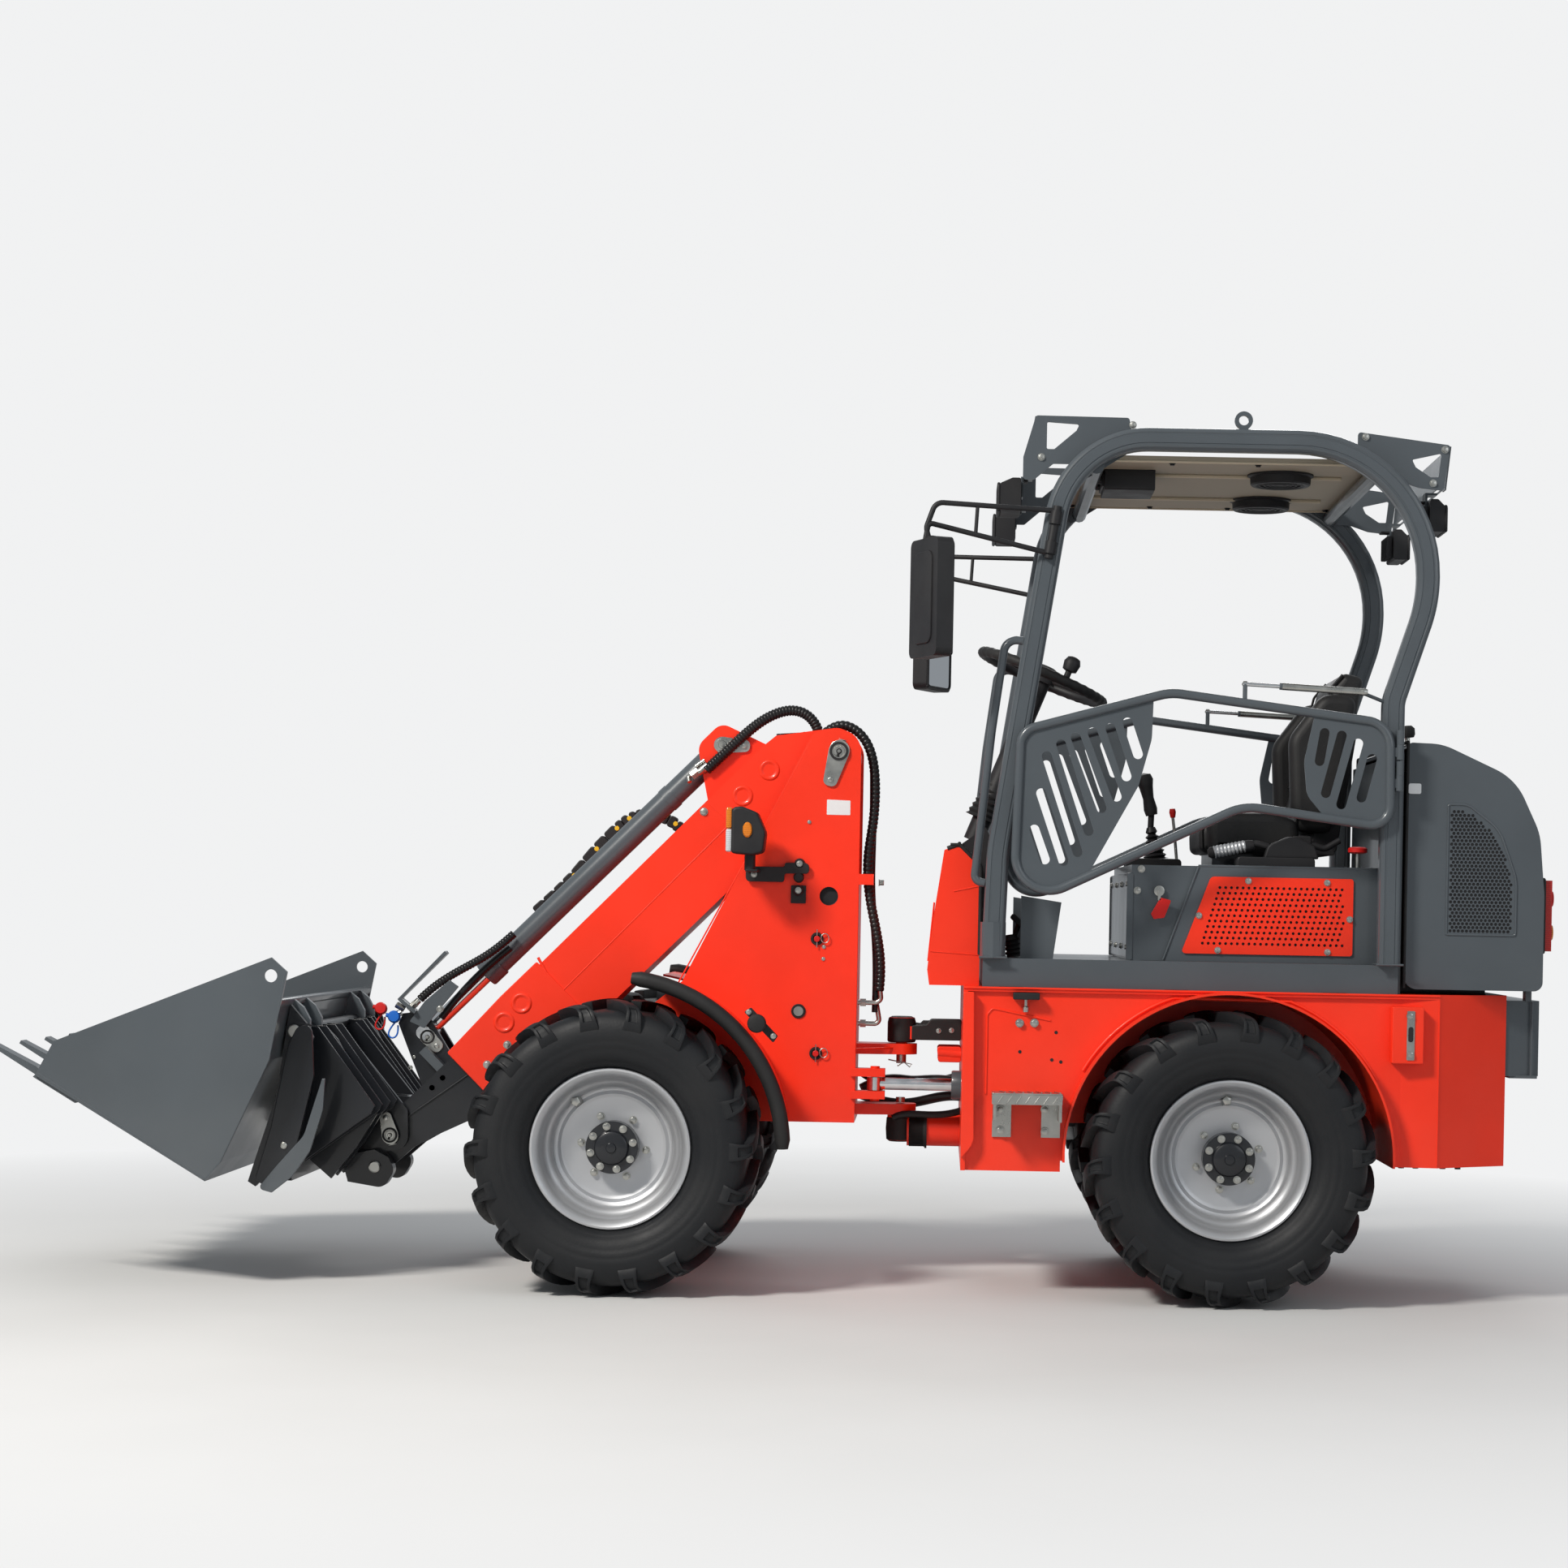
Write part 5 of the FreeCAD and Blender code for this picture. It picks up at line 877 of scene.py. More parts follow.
def wrapped_hose(points, radius, pitch=9.0):
    """A hose in a spiral guard: an even run of bands along its line, with narrow dark seams between."""
    guide = tube(points, 0.1, smooth=True)
    guide.data.bevel_depth = 0
    alone(guide)
    bpy.ops.object.convert(target="MESH")
    run = [corner.co.copy() for corner in guide.data.vertices]
    bpy.data.objects.remove(guide)
    spots, left = [run[0]], 0.0
    step = pitch / 4000
    for start, end in zip(run, run[1:]):
        length = (end - start).length
        while left + length >= step:
            start = start.lerp(end, (step - left) / length)
            spots.append(start)
            length = (end - start).length
            left = 0.0
        left += length
    line = bpy.data.curves.new("wrapped", "CURVE")
    line.dimensions = "3D"
    spline = line.splines.new("POLY")
    spline.points.add(len(spots) - 1)
    for i, (point, place) in enumerate(zip(spline.points, spots)):
        point.co = (*place, 1)
        point.radius = (0.88, 1.0, 1.02, 1.0)[i % 4]
    line.bevel_depth = radius / 1000
    line.bevel_resolution = 3
    line.use_fill_caps = True
    piece = bpy.data.objects.new("wrapped", line)
    bpy.context.collection.objects.link(piece)
    return piece


loop = wrapped_hose([(-560, -66, 1408), (-520, -68, 1446), (-460, -66, 1505), (-395, -62, 1562),
                     (-310, -60, 1592), (-245, -60, 1545), (-240, -62, 1480), (-258, -64, 1400)], 15)
settle(loop, "boom_hose_loop", "hose_rubber", "lift_arm", 50)
ends = [tube([(-606, -62, 1374), (-612, -50, 1392), (-590, -66, 1400), (-556, -67, 1412)], 6.5, 8),
        turned([(0, 0), (0, 13), (24, 13), (24, 0)], 6, at(-600, -64, 1390), (0.6, 0, 0.5)),
        turned([(0, 0), (0, 10), (34, 10), (34, 0)], 20, at(-582, -66, 1400), (0.7, 0, 0.6)),
        tube([(-590, -58, 1418), (-566, -58, 1436)], 6), tube([(-578, -52, 1424), (-560, -60, 1402)], 6)]
settle(joined(ends), "boom_hose_ends", "zinc_steel", "lift_arm")
drop = wrapped_hose([(-236, -100, 1508), (-200, -100, 1544), (-150, -100, 1540), (-98, -100, 1484),
                     (-82, -100, 1380), (-88, -100, 1260), (-104, -119, 1180), (-100, -119, 1070),
                     (-66, -112, 940), (-58, -104, 860), (-64, -100, 800)], 14, 12)
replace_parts(settle(drop, "mast_hose", "hose_rubber", "front", 50), "mast_hoses")
side_hose = tube([(-92, -70, 1420), (-88, -72, 1250), (-96, -80, 1100), (-78, -80, 960), (-72, -80, 860),
                  (-74, -84, 740)], 10, smooth=True)
settle(side_hose, "mast_return_hose", "hose_rubber", "front")
ends = [tube([(-63, -104, 822), (-58, -104, 776), (-72, -104, 768), (-122, -104, 768)], 7, 12),
        tube([(-70, -84, 760), (-62, -84, 716), (-72, -84, 709), (-122, -84, 709)], 7, 12),
        turned([(0, 0), (0, 12), (16, 12), (16, 0)], 6, at(-116, -104, 768), (1, 0, 0)),
        turned([(0, 0), (0, 12), (16, 12), (16, 0)], 6, at(-116, -84, 709), (1, 0, 0))]
settle(joined(ends), "mast_hose_ends", "zinc_steel", "front")

# Energy chain
# A black chain of links on the boom's right side carries the hoses to the tool. Yellow dots mark it.
chain_line = [(-1060, 1000), (-1000, 1056), (-950, 1108), (-887, 1186), (-830, 1246), (-795, 1275), (-755, 1288),
              (-705, 1284), (-662, 1262), (-640, 1236), (-628, 1206)]
links, dots = [], []
for (ax, az), (bx, bz) in zip(chain_line, chain_line[1:]):
    run = Vector((bx - ax, bz - az))
    for part_run in (0.25, 0.75):
        cx, cz = ax + run.x * part_run, az + run.y * part_run
        along, across = run.normalized() * run.length * 0.235, Vector((-run.y, run.x)).normalized() * 17
        spots = [along + across, along - across, -along - across, -along + across]
        links.append(plate([(cx + s.x, cz + s.y) for s in spots], 150, 46, edge=3, bend=8))
    dots.append((ax, 150, az))
settle(joined(links), "hose_chain", "black_plastic", "lift_arm")
dot = turned([(0, 0), (0, 7), (1.5, 6.5), (2, 0)], 16)
settle(spread(dot, dots[2:], (0, -1, 0)), "hose_chain_dots", "dot_yellow", "lift_arm")

# Tool end of the boom
# The black nose has a fold line and two holes, a guard for the couplers, a bent guard strap, hoses and
# two dust caps on cords, one red and one blue.
nose = [tube([(-1395, -101, 408), (-1200, -101, 548)], 3)]
for x, z in ((-1275, 535), (-1304, 507)):
    nose.append(turned([(0, 0), (0, 11), (1.4, 11), (1.4, 8), (0.4, 7.5), (0.4, 0)], 24, at(x, -99.6, z), (0, -1, 0)))
settle(joined(nose), "nose_fold", "black_paint", "inner_arm")
holder = plate([(-1372, 690), (-1330, 748), (-1262, 808), (-1236, 790), (-1296, 716), (-1330, 672)], -92, 5, edge=1)
strap = plate([(-1404, 752), (-1396, 744), (-1356, 712), (-1350, 720), (-1392, 755), (-1268, 882), (-1274, 890)],
              -110, 40, edge=0.8, bend=2)
settle(joined([holder, strap]), "coupler_guard", "grey_paint", "inner_arm")
nose_hose = wrapped_hose([(-1345, -84, 752), (-1318, -84, 780), (-1270, -84, 816), (-1205, -84, 852),
                          (-1140, -80, 890), (-1090, -60, 940)], 12)
settle(nose_hose, "nose_hose", "hose_rubber", "inner_arm", 50)
plain_hose = tube([(-1290, -50, 700), (-1240, -50, 770), (-1180, -50, 838), (-1100, -50, 900)], 10, smooth=True)
settle(plain_hose, "nose_plain_hose", "hose_rubber", "inner_arm")
fit = [turned([(0, 0), (0, 11), (22, 11), (22, 0)], 6, at(-1372, -84, 726), (0.7, 0, 0.7)),
       turned([(0, 0), (0, 9), (40, 9), (40, 0)], 20, at(-1376, -84, 722), (0.7, 0, 0.7)),
       turned([(0, 0), (0, 10), (26, 10), (26, 0)], 6, at(-1388, -84, 724), (-0.7, 0, 0.4)),
       turned([(0, 0), (0, 9), (26, 9), (26, 0)], 20, at(-1420, -84, 706), (0.7, 0, 0.25)),
       spread(bolt(8), [(-1287, -93, 727)], (0, -1, 0))]
settle(joined(fit), "coupler_fittings", "zinc_steel", "inner_arm")
for name, paint, x, z, y in (("red", "bright_red", -1452, 724, -96), ("blue", "cap_blue", -1412, 702, -112)):
    cap = turned([(0, 0), (0, 17), (24, 17), (30, 14), (31, 0)], 32, at(x, y + 10, z), (0.1, -1, 0.1))
    knob = turned([(0, 0), (0, 6), (22, 6), (24, 0)], 20, at(x, y, z), (-1, 0, 0.3))
    cord = tube([(x + 4, y, z - 14), (x - 12, y, z - 34), (x - 18, y, z - 52), (x, y, z - 62), (x + 14, y, z - 48),
                 (x + 12, y, z - 22)], 2.4, smooth=True)
    settle(joined([cap, knob, cord]), f"dust_cap_{name}", paint, "inner_arm")
ear_plates = []
for level in (-62.4, 62.4):
    ear_plates += pin_plate((-1325, 647), (-1299, 622), level, 5, 25, 16)
settle(joined(ear_plates), "ear_pin_plates", "zinc_steel", "inner_arm")
for side, out in (("left", -1), ("right", 1)):
    pin_rings_with_keyhole_shade((-1325, out * 69, 647), 20, out, f"ear_pin_ring_{side}", "inner_arm")
    pin_rings_with_keyhole_shade((-1412, out * 139, 376), 21, out, f"carrier_pin_ring_{side}", "tool")
skirt_bolts = spread(bolt(5), [(-1362, -60, 590), (-1372, -60, 560)], (0, -1, 0))
settle(skirt_bolts, "ear_bolts", "zinc_steel", "inner_arm")

# Tool carrier
# Black plates of two thicknesses, the outer ones with grey strips that are a painted highlight for their lit
# rear edges, zinc plates on the pivot's pins, a lock pin low down and the hook bar's bright ends in the bucket's
# hooks.
ribs = []
for sign in (-1, 1):
    for y, dx in ((148, 0), (225, -4), (320, -8), (395, -14)):
        ribs.append(plate([(-1608, 684), (-1548 + dx, 684), (-1392 + dx, 474), (-1404 + dx, 452),
                           (-1608, 312)], sign * y - 4, 8, edge=1.2))
    ribs.append(plate([(-1618, 640, 20), (-1590, 700, 30), (-1556, 690, 30), (-1548, 560, 20), (-1600, 330, 30),
                       (-1668, 262, 16), (-1700, 280, 12), (-1660, 420, 60)], sign * 505 - 6, 12, edge=2))
settle(joined(ribs), "carrier_ribs", "black_paint", "tool")
# The grey strips on the outer black plates are a painted highlight: they stand for the lit rear edge faces of those
# plates.
pale = []
for sign in (-1, 1):
    pale.append(plate([(-1524, 552), (-1516, 552), (-1520, 470, 80), (-1552, 360, 60), (-1600, 290), (-1652, 248),
                       (-1690, 258, 10), (-1640, 320, 60), (-1570, 400, 60)], sign * 517 - 5, 10, edge=1.6))
settle(joined(pale), "carrier_lit_edge_plates", "grey_paint", "tool")
carrier_pins = []
for sign in (-1, 1):
    carrier_pins += pin_plate((-1412, 376), (-1425, 424), sign * 133, 5, 27, 15)
    carrier_pins.append(turned([(0, 0), (0, 16), (8, 16), (10, 13), (10, 0)], 32, at(-1448, sign * 160, 290),
                               (0, sign, 0)))
    carrier_pins.append(turned([(0, 0), (0, 17), (10, 17), (12, 14), (12, 0)], 32, at(-1604, sign * 498, 676),
                               (0, sign, 0)))
    carrier_pins.append(turned([(0, 0), (0, 9), (4, 9), (6, 6), (6, 0)], 24, at(-1624, sign * 511, 373),
                               (0, sign, 0)))
settle(joined(carrier_pins), "carrier_pins", "zinc_steel", "tool")

# Bucket
# Grey plate with a wear edge along the lip, a rolled top edge and seams where the sides meet the shell.
edges = [tube([(-2250, y, 560), (-1806, y, 290)], 4) for y in (-617, 617)]
edges += [tube([(-1806, y, 290), (-1766, y, 338), (-1645, y, 605), (-1606, y, 832)], 3.5) for y in (-617, 617)]
edges.append(plate([(-2262, 548), (-2150, 481), (-2144, 492), (-2250, 560)], -612, 1224, edge=1, bend=1))
edges.append(plate([(-1640, 742), (-1618, 742), (-1612, 764), (-1640, 764)], -610, 1220, edge=2, bend=6))
settle(joined(edges), "bucket_edges", "grey_paint", "tool")

# Steering joint
# Two ball joints in black sockets stand on the red lugs, held by plated clips. The rear ones end in a
# black bar over, with a zinc plate, and in a red drum under. Black hoses sag between the frames.
ball_parts = [
    turned([(0, 0), (0, 37), (4, 40), (56, 40), (68, 37), (73, 28), (73, 0)], 40, at(0, 0, 655.2), (0, 0, 1)),
    turned([(0, 0), (0, 14), (16, 12), (24, 20), (60, 20), (60, 0)], 32, at(36, 0, 698), (1, 0, 0)),
    plate([(28, 663, 6), (168, 663, 6), (168, 722, 6), (82, 722, 10), (68, 706, 10), (28, 704, 6)], -34, 68,
          edge=3),
    turned([(0, 0), (0, 30), (6, 38), (36, 40), (66, 38), (73, 30), (73, 0)], 40, at(0, 0, 376), (0, 0, 1)),
    turned([(0, 47), (40, 47), (46, 50), (46, 47)], 40, at(26, 0, 409), (1, 0, 0), closed=True),
    turned([(0, 46), (0, 52), (6, 52), (6, 46)], 40, at(70, 0, 409), (1, 0, 0), closed=True),
]
joint_hoses = [
    tube([(-110, 20, 520), (-40, 40, 560), (30, 60, 530), (100, 50, 555), (172, 40, 540)], 15, smooth=True),
    tube([(-110, 70, 500), (-30, 80, 470), (60, 90, 480), (130, 90, 505), (172, 80, 500)], 14, smooth=True),
    tube([(-110, 110, 560), (-40, 118, 510), (60, 120, 520), (172, 110, 560)], 12, smooth=True),
    tube([(-20, -40, 445), (30, -50, 470), (90, -50, 440), (172, -44, 468)], 10, smooth=True),
]
settle(joined(ball_parts[:3]), "upper_ball_joint", "black_rubber", "chassis")
settle(joined(ball_parts[3:]), "lower_ball_joint", "black_rubber", "chassis")
for hose_piece, name in zip(joint_hoses, ("upper", "lower", "right", "drain")):
    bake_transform(settle(hose_piece, f"joint_hose_{name}", "hose_rubber", None), "front", "chassis",
             start=at(-100, 0, 520), end=at(160, 0, 520))
joint_zinc = [
    plate([(88, 664), (168, 664), (168, 712), (88, 712)], -33, 6, edge=0.8),
    spread(bolt(6), [(104, -33, 690), (140, -33, 692)], (0, -1, 0)),
    turned([(0, 0), (0, 14), (24, 14), (24, 0)], 24, at(0, 0, 596), (0, 0, 1)),
    tube([(-36, -16, 606), (30, -16, 594), (24, -16, 586), (8, -16, 600), (-10, -16, 588)], 2),
    turned([(0, 0), (0, 13), (14, 13), (14, 0)], 24, at(0, 0, 486), (0, 0, 1)),
]
settle(joined(joint_zinc), "joint_clips", "zinc_steel", "chassis")
settle(turned([(0, 17.6), (0, 38), (4, 40), (34, 40), (36, 38), (36, 17.6)], 40, at(142, -138, 545), (1, 0, 0),
              closed=True), "steer_gland", "grey_paint", "steer_tube")

# Rear frame
# The side wall is set back in a folded rim, with weld seams round the arch. Fixed to it are nuts,
# a rubber mount of the cab, the zinc step and the bracket of the tail.
for side, sign in (("left", -1), ("right", 1)):
    y = sign * 508.5
    rim_parts = [
        plate([(168, 815), (196, 815), (202, 425), (196, 408), (168, 372)], min(sign * 509, sign * 540), 31, edge=2),
        tube([(232, y, 545), (232, y, 755), (246, y, 772), (400, y, 742)], 3, 12),
        tube([(168, sign * 522, 826), (1428, sign * 522, 826)], 3),
        tube([(1428, sign * 520, 378), (1428, sign * 520, 812)], 1.6),
        plate([(1299, 797, 3), (1382, 797, 3), (1382, 648, 3), (1299, 648, 3)],
              min(sign * 512, sign * 552), 40, edge=2),
        tube([(103, sign * 60, 630), (168, sign * 60, 626)], 16),
        plate([(100, 648), (168, 648), (168, 604), (104, 604)], sign * 66 - 7, 14, edge=2, bend=8),
    ]
    settle(joined(rim_parts), f"frame_rim_{side}", "red_paint", "chassis")
    seam = [(874 + 446 * math.cos(t), sign * 509, 388 + 446 * math.sin(t)) for t in
            (math.radians(150 - 4.5 * k) for k in range(28))]
    settle(tube([spot for spot in seam if spot[2] < 815], 4.5), f"arch_seam_{side}", "red_paint", "chassis")
    heads = [spread(bolt(9, 4), [(318, y, 734), (357, y, 735)], (0, sign, 0)),
             spread(bolt(8), [(1345, sign * 555, 774), (1347, sign * 555, 672)], (0, sign, 0)),
             spread(bolt(9), [(271, sign * 520, 505), (272, sign * 520, 449), (389, sign * 520, 507),
                              (390, sign * 520, 448)], (0, sign, 0)),
             plate([(1337, 787, 3), (1358, 787, 3), (1358, 657, 3), (1337, 657, 3)], sign * 553 - 1.5, 3,
                   edge=0.5),
             turned([(0, 0), (0, 5), (26, 5), (30, 8), (42, 8), (42, 0)], 16, at(333, sign * 522, 806), (0, 0, -1))]
    settle(joined(heads), f"frame_bolts_{side}", "zinc_steel", "chassis")
    darks = [plate([(299, 815), (369, 815), (369, 797), (299, 797)], min(sign * 510, sign * 545), 35, edge=2),
             plate([(1341, 745, 6), (1354, 745, 6), (1354, 705, 6), (1341, 705, 6)], sign * 555 - 1.5, 3,
                   edge=0.3)]
    for x, z in ((415, 711), (320, 658), (405, 638), (429, 633)):
        darks.append(turned([(0, 0), (0, 4.6), (0.8, 4.2), (0.8, 0)], 16, at(x, y, z), (0, sign, 0)))
    for x in (260, 700, 1120):
        darks.append(plate([(x, 829.4), (x + 66, 829.4), (x + 66, 826.5), (x, 826.5)],
                           min(sign * 430, sign * 500), 70, edge=0.4))
    settle(joined(darks), f"frame_mounts_{side}", "black_rubber", "chassis")
    tread = [plate([(246, min(sign * 560, sign * 641)), (430, min(sign * 560, sign * 641)),
                    (430, max(sign * 560, sign * 641)), (246, max(sign * 560, sign * 641))], 552, 4, plane="top"),
             plate([(246, 552), (430, 552), (430, 526), (246, 526)], sign * 641 - 1.5, 3, edge=0.5)]
    for k in range(7):
        tread.append(tube([(262 + 24 * k, sign * 642.5, 530), (274 + 24 * k, sign * 642.5, 548)], 1.6))
        tread.append(tube([(268 + 24 * k, sign * 575, 557), (280 + 24 * k, sign * 625, 557)], 1.8))
    settle(joined(tread), f"step_tread_{side}", "zinc_steel", "chassis")
under = spread(bolt(9), [(x, y, 357) for x in (1371, 1410, 1484, 1525) for y in (-280, 280)], (0, 0, -1))
settle(under, "tail_under_bolts", "black_paint", "chassis")
nodes["tail_block"].data.materials[0] = grey_paint
folds = [tube([(1700, y, 613), (1700, y, 814)], 3) for y in (-381, 381)]
folds.append(plate([(1640, 606), (1716, 606), (1716, 614), (1640, 614)], -385, 770, edge=1, bend=1))
settle(joined(folds), "tail_folds", "grey_paint", "chassis")

# Cowl, dashboard and pedals
# The red cowl has a rubber strip along its rear edge and pressed seams. The column has a ribbed boot,
# and a black pedal stands on a bellows in the footwell.
trim = [tube([(209, y, 912), (209, y, 1149), (150, y, 1206), (118, y, 1194)], 6, 16) for y in (-448, 448)]
trim += [tube([(150, -446, 1208), (150, 446, 1208)], 5), tube([(126, -452, 1205), (149, -452, 1205)], 4)]
settle(joined(trim), "cowl_trim", "black_rubber", "chassis")
press = [tube([(137, y, 1080), (209, y, 1096)], 2) for y in (-450, 450)]
press += [tube([(78, y, 919), (209, y, 899 + 12)], 2) for y in (-450, 450)]
press += [tube([(x, y, z), (x + 14, y, z + 160)], 2) for x, z in ((71, 890),) for y in (-300, 300)]
settle(joined(press), "cowl_seams", "red_paint", "chassis")
boot = [(0, 46)] + [(8 + 8 * k, 44 - 1.6 * k if k % 2 else 38 - 1.6 * k) for k in range(12)] + [(104, 26), (104, 0)]
column_boot = turned([(0, 0)] + boot, 40, at(211, 0, 1290), (0.3746, 0, 0.9272))
settle(column_boot, "column_boot", "black_rubber", "chassis")
pedal = [plate([(303, 1026, 6), (351, 980, 6), (343, 968, 6), (293, 1012, 6)], -285, 80, edge=2),
         tube([(318, -250, 996), (296, -250, 930), (306, -250, 908)], 7, 20)]
ribs_up = [(0, 22)] + [(6 + 6 * k, 24 if k % 2 else 18) for k in range(9)] + [(62, 14), (62, 0)]
pedal.append(turned([(0, 0)] + ribs_up, 32, at(306, -250, 905), (-0.15, 0, 1)))
settle(joined(pedal), "pedal", "black_rubber", "chassis")
dash_parts = [plate([(178, 1219, 6), (232, 1238, 6), (240, 1228, 6), (190, 1206, 6)], -96, 192, edge=2)]
dash_parts += [turned([(0, 0), (0, 12), (8, 12), (10, 8), (10, 0)], 24, at(248, y, 1214), (0.8, 0, 0.5))
               for y in (-60, -20, 20, 60)]
settle(joined(dash_parts), "dashboard_top", "black_plastic", "chassis")

# Steering wheel
# The rim's underside is wavy for the fingers, and a knob for one-handed turning stands on it.
tilt_turn = Matrix.Translation(at(378, 0, 1690)) @ Matrix.Rotation(math.radians(22), 4, "Y")
grip = [(182 * math.cos(t), 182 * math.sin(t)) for t in (math.tau * k / 144 for k in range(145))]
waves = line_of([Vector((x / 1000, y / 1000, 0)) for x, y in grip])
for k, point in enumerate(waves.data.splines[0].points):
    point.radius = 1.0 + 0.07 * math.cos(k * math.tau / 4)
waves.data.bevel_depth = 0.0142
waves.data.bevel_resolution = 4
alone(waves)
bpy.ops.object.convert(target="MESH")
waves.data.transform(tilt_turn)
settle(waves, "steering_grip", "black_rubber", "hand_wheel", 60)
knob = joined([turned([(0, 0), (0, 9), (14, 9), (18, 20), (40, 24), (54, 18), (58, 8), (58, 0)], 32)])
knob.data.transform(tilt_turn @ Matrix.Translation((0.06, -0.17, 0.014)))
settle(knob, "steering_knob", "black_plastic", "hand_wheel", 50)
cap = joined([turned([(0, 0), (0, 36), (8, 33), (12, 22), (13, 0)], 40)])
cap.data.transform(tilt_turn @ Matrix.Translation((0, 0, 0.022)))
settle(cap, "steering_cap", "black_plastic", "hand_wheel", 50)

# Seat
# A stuffed black seat: a cushion and a back between raised sides, with piping along the seams, on a
# black shell.
padding = [
    plate([(815, 1201, 20), (811, 1292, 36), (1085, 1264, 20), (1100, 1201, 20)], -178, 356, edge=24),
    plate([(1068, 1262, 30), (1172, 1668, 40), (1205, 1706, 20), (1262, 1694, 20), (1180, 1262, 30)],
          -178, 356, edge=24),
]
for y in (-240, 172):
    padding.append(plate([(835, 1203, 20), (828, 1312, 38), (1020, 1314, 60), (1078, 1290, 30), (1090, 1203, 20)],
                         y, 68, edge=26))
    padding.append(plate([(1060, 1300, 40), (1050, 1520, 70), (1140, 1642, 50), (1236, 1640, 30),
                          (1190, 1290, 40)], y, 68, edge=26))
piping = []
for y in (-176, 176):
    piping.append(tube([(822, y, 1215), (818, y, 1296), (1074, y, 1274), (1166, y, 1660), (1200, y, 1700)], 3.6, 26))
for x, z in ((905, 1291), (985, 1283)):
    piping.append(tube([(x, -172, z - 3), (x, 172, z - 3)], 3.2))
for x, z in ((1098, 1400), (1128, 1520)):
    piping.append(tube([(x, -172, z), (x, 172, z)], 3.2))
stuffed = settle(joined(padding + piping), "seat_pads", "black_vinyl", "chassis", 60)
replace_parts(stuffed, "seat")
shell = [plate([(1120, 1205, 10), (1196, 1210, 10), (1250, 1560, 30), (1236, 1600, 10), (1190, 1590, 20)],
               -150, 300, edge=4),
         plate([(840, 1200, 6), (1190, 1200, 6), (1180, 1216, 4), (850, 1216, 4)], -200, 400, edge=2)]
settle(joined(shell), "seat_shell", "black_plastic", "chassis")
belt = tube([(1190, -252, 1240), (1150, -256, 1216), (1100, -254, 1232)], 9, 20)
settle(belt, "belt_stalk", "black_plastic", "chassis")
buckle = plate([(1060, 1218, 6), (1060, 1250, 6), (1112, 1250, 6), (1112, 1218, 6)], -266, 18, edge=3)
settle(buckle, "belt_buckle", "black_plastic", "chassis")

# Levers
# The joystick has a ribbed bellows and a shaped grip, beside it is a small lever with a red tip. On the
# near side are the hand brake and a red knob.
ribbed = [(0, 0), (0, 40)] + [(5 + 7 * k, (36 - 1.7 * k) if k % 2 else (28 - 1.7 * k)) for k in range(12)]
ribbed += [(96, 12), (96, 0)]
shapes = [
    plate([(640, 1161, 4), (800, 1161, 4), (800, 1191, 12), (640, 1191, 12)], 250, 130, edge=3),
    turned(ribbed, 40, at(728, 310, 1188), (-0.16, 0, 1)),
    tube([(712, 310, 1270), (714, 310, 1330)], 9),
    turned([(0, 0), (0, 17), (18, 20), (50, 16), (82, 20), (104, 25), (120, 20), (126, 0)], 32,
           at(715, 310, 1318), (-0.22, 0, 1)),
    plate([(900, 1161, 4), (1110, 1161, 4), (1110, 1189, 10), (900, 1189, 10)], -370, 90, edge=3),
    plate([(974, 1186, 3), (1122, 1186, 3), (1112, 1222, 30), (1048, 1250, 50), (984, 1222, 30)], -352, 34,
          edge=4, bend=20),
    tube([(1060, -325, 1196), (958, -325, 1226), (900, -325, 1216)], 9, 40),
    turned([(0, 0), (0, 13), (12, 16), (90, 14), (118, 16), (126, 10), (126, 0)], 24, at(948, -325, 1222),
           (-0.97, 0, -0.2)),
]
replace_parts(settle(joined(shapes), "hand_levers", "black_plastic", "chassis"), "levers")
grip_ribs = [(0, 0), (0, 14)] + [(4 + 5 * k, 17.5 if k % 2 else 15) for k in range(18)] + [(94, 13), (94, 0)]
settle(turned(grip_ribs, 28, at(930, -325, 1219), (-0.97, 0, -0.2)), "brake_grip", "silver_paint", "chassis")
settle(tube([(790, 310, 1190), (782, 310, 1272), (776, 310, 1318)], 4.5, 30), "small_lever", "zinc_steel", "chassis")
settle(turned([(0, 0), (0, 7), (16, 10), (26, 8), (28, 0)], 24, at(777, 310, 1312), (-0.08, 0, 1)),
       "small_lever_tip", "bright_red", "chassis")
stalk = turned([(0, 0), (0, 7), (44, 7), (44, 0)], 20, at(1228, -340, 1161), (0, 0, 1))
settle(stalk, "stop_stalk", "zinc_steel", "chassis")
top_knob = turned([(0, 0), (0, 18), (4, 26), (14, 26), (18, 20), (19, 0)], 40, at(1228, -340, 1203), (0, 0, 1))
settle(top_knob, "stop_knob", "bright_red", "chassis")

# Seat box and its covers
# The red panel on each side is punched with rows of small round holes and bolted on. The box's front
# is lighter, with bolts and a key on a red tag.
punched = []
for sign in (-1, 1):
    holes = []
    for row in range(11):
        z = 954 + 15 * row
        start = 806 + row * 4.4
        holes += [(start + 15.6 * k, z, 4.2) for k in range(25) if start + 15.6 * k < 1184]
    punched.append(plate([(749, 926, 8), (1208, 926, 8), (1208, 1133, 8), (826, 1133, 14)],
                         min(sign * 412, sign * 418), 6, holes, edge=0, sides=8))
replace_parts(settle(joined(punched), "punched_panels", "red_paint", "chassis"), "side_panels")
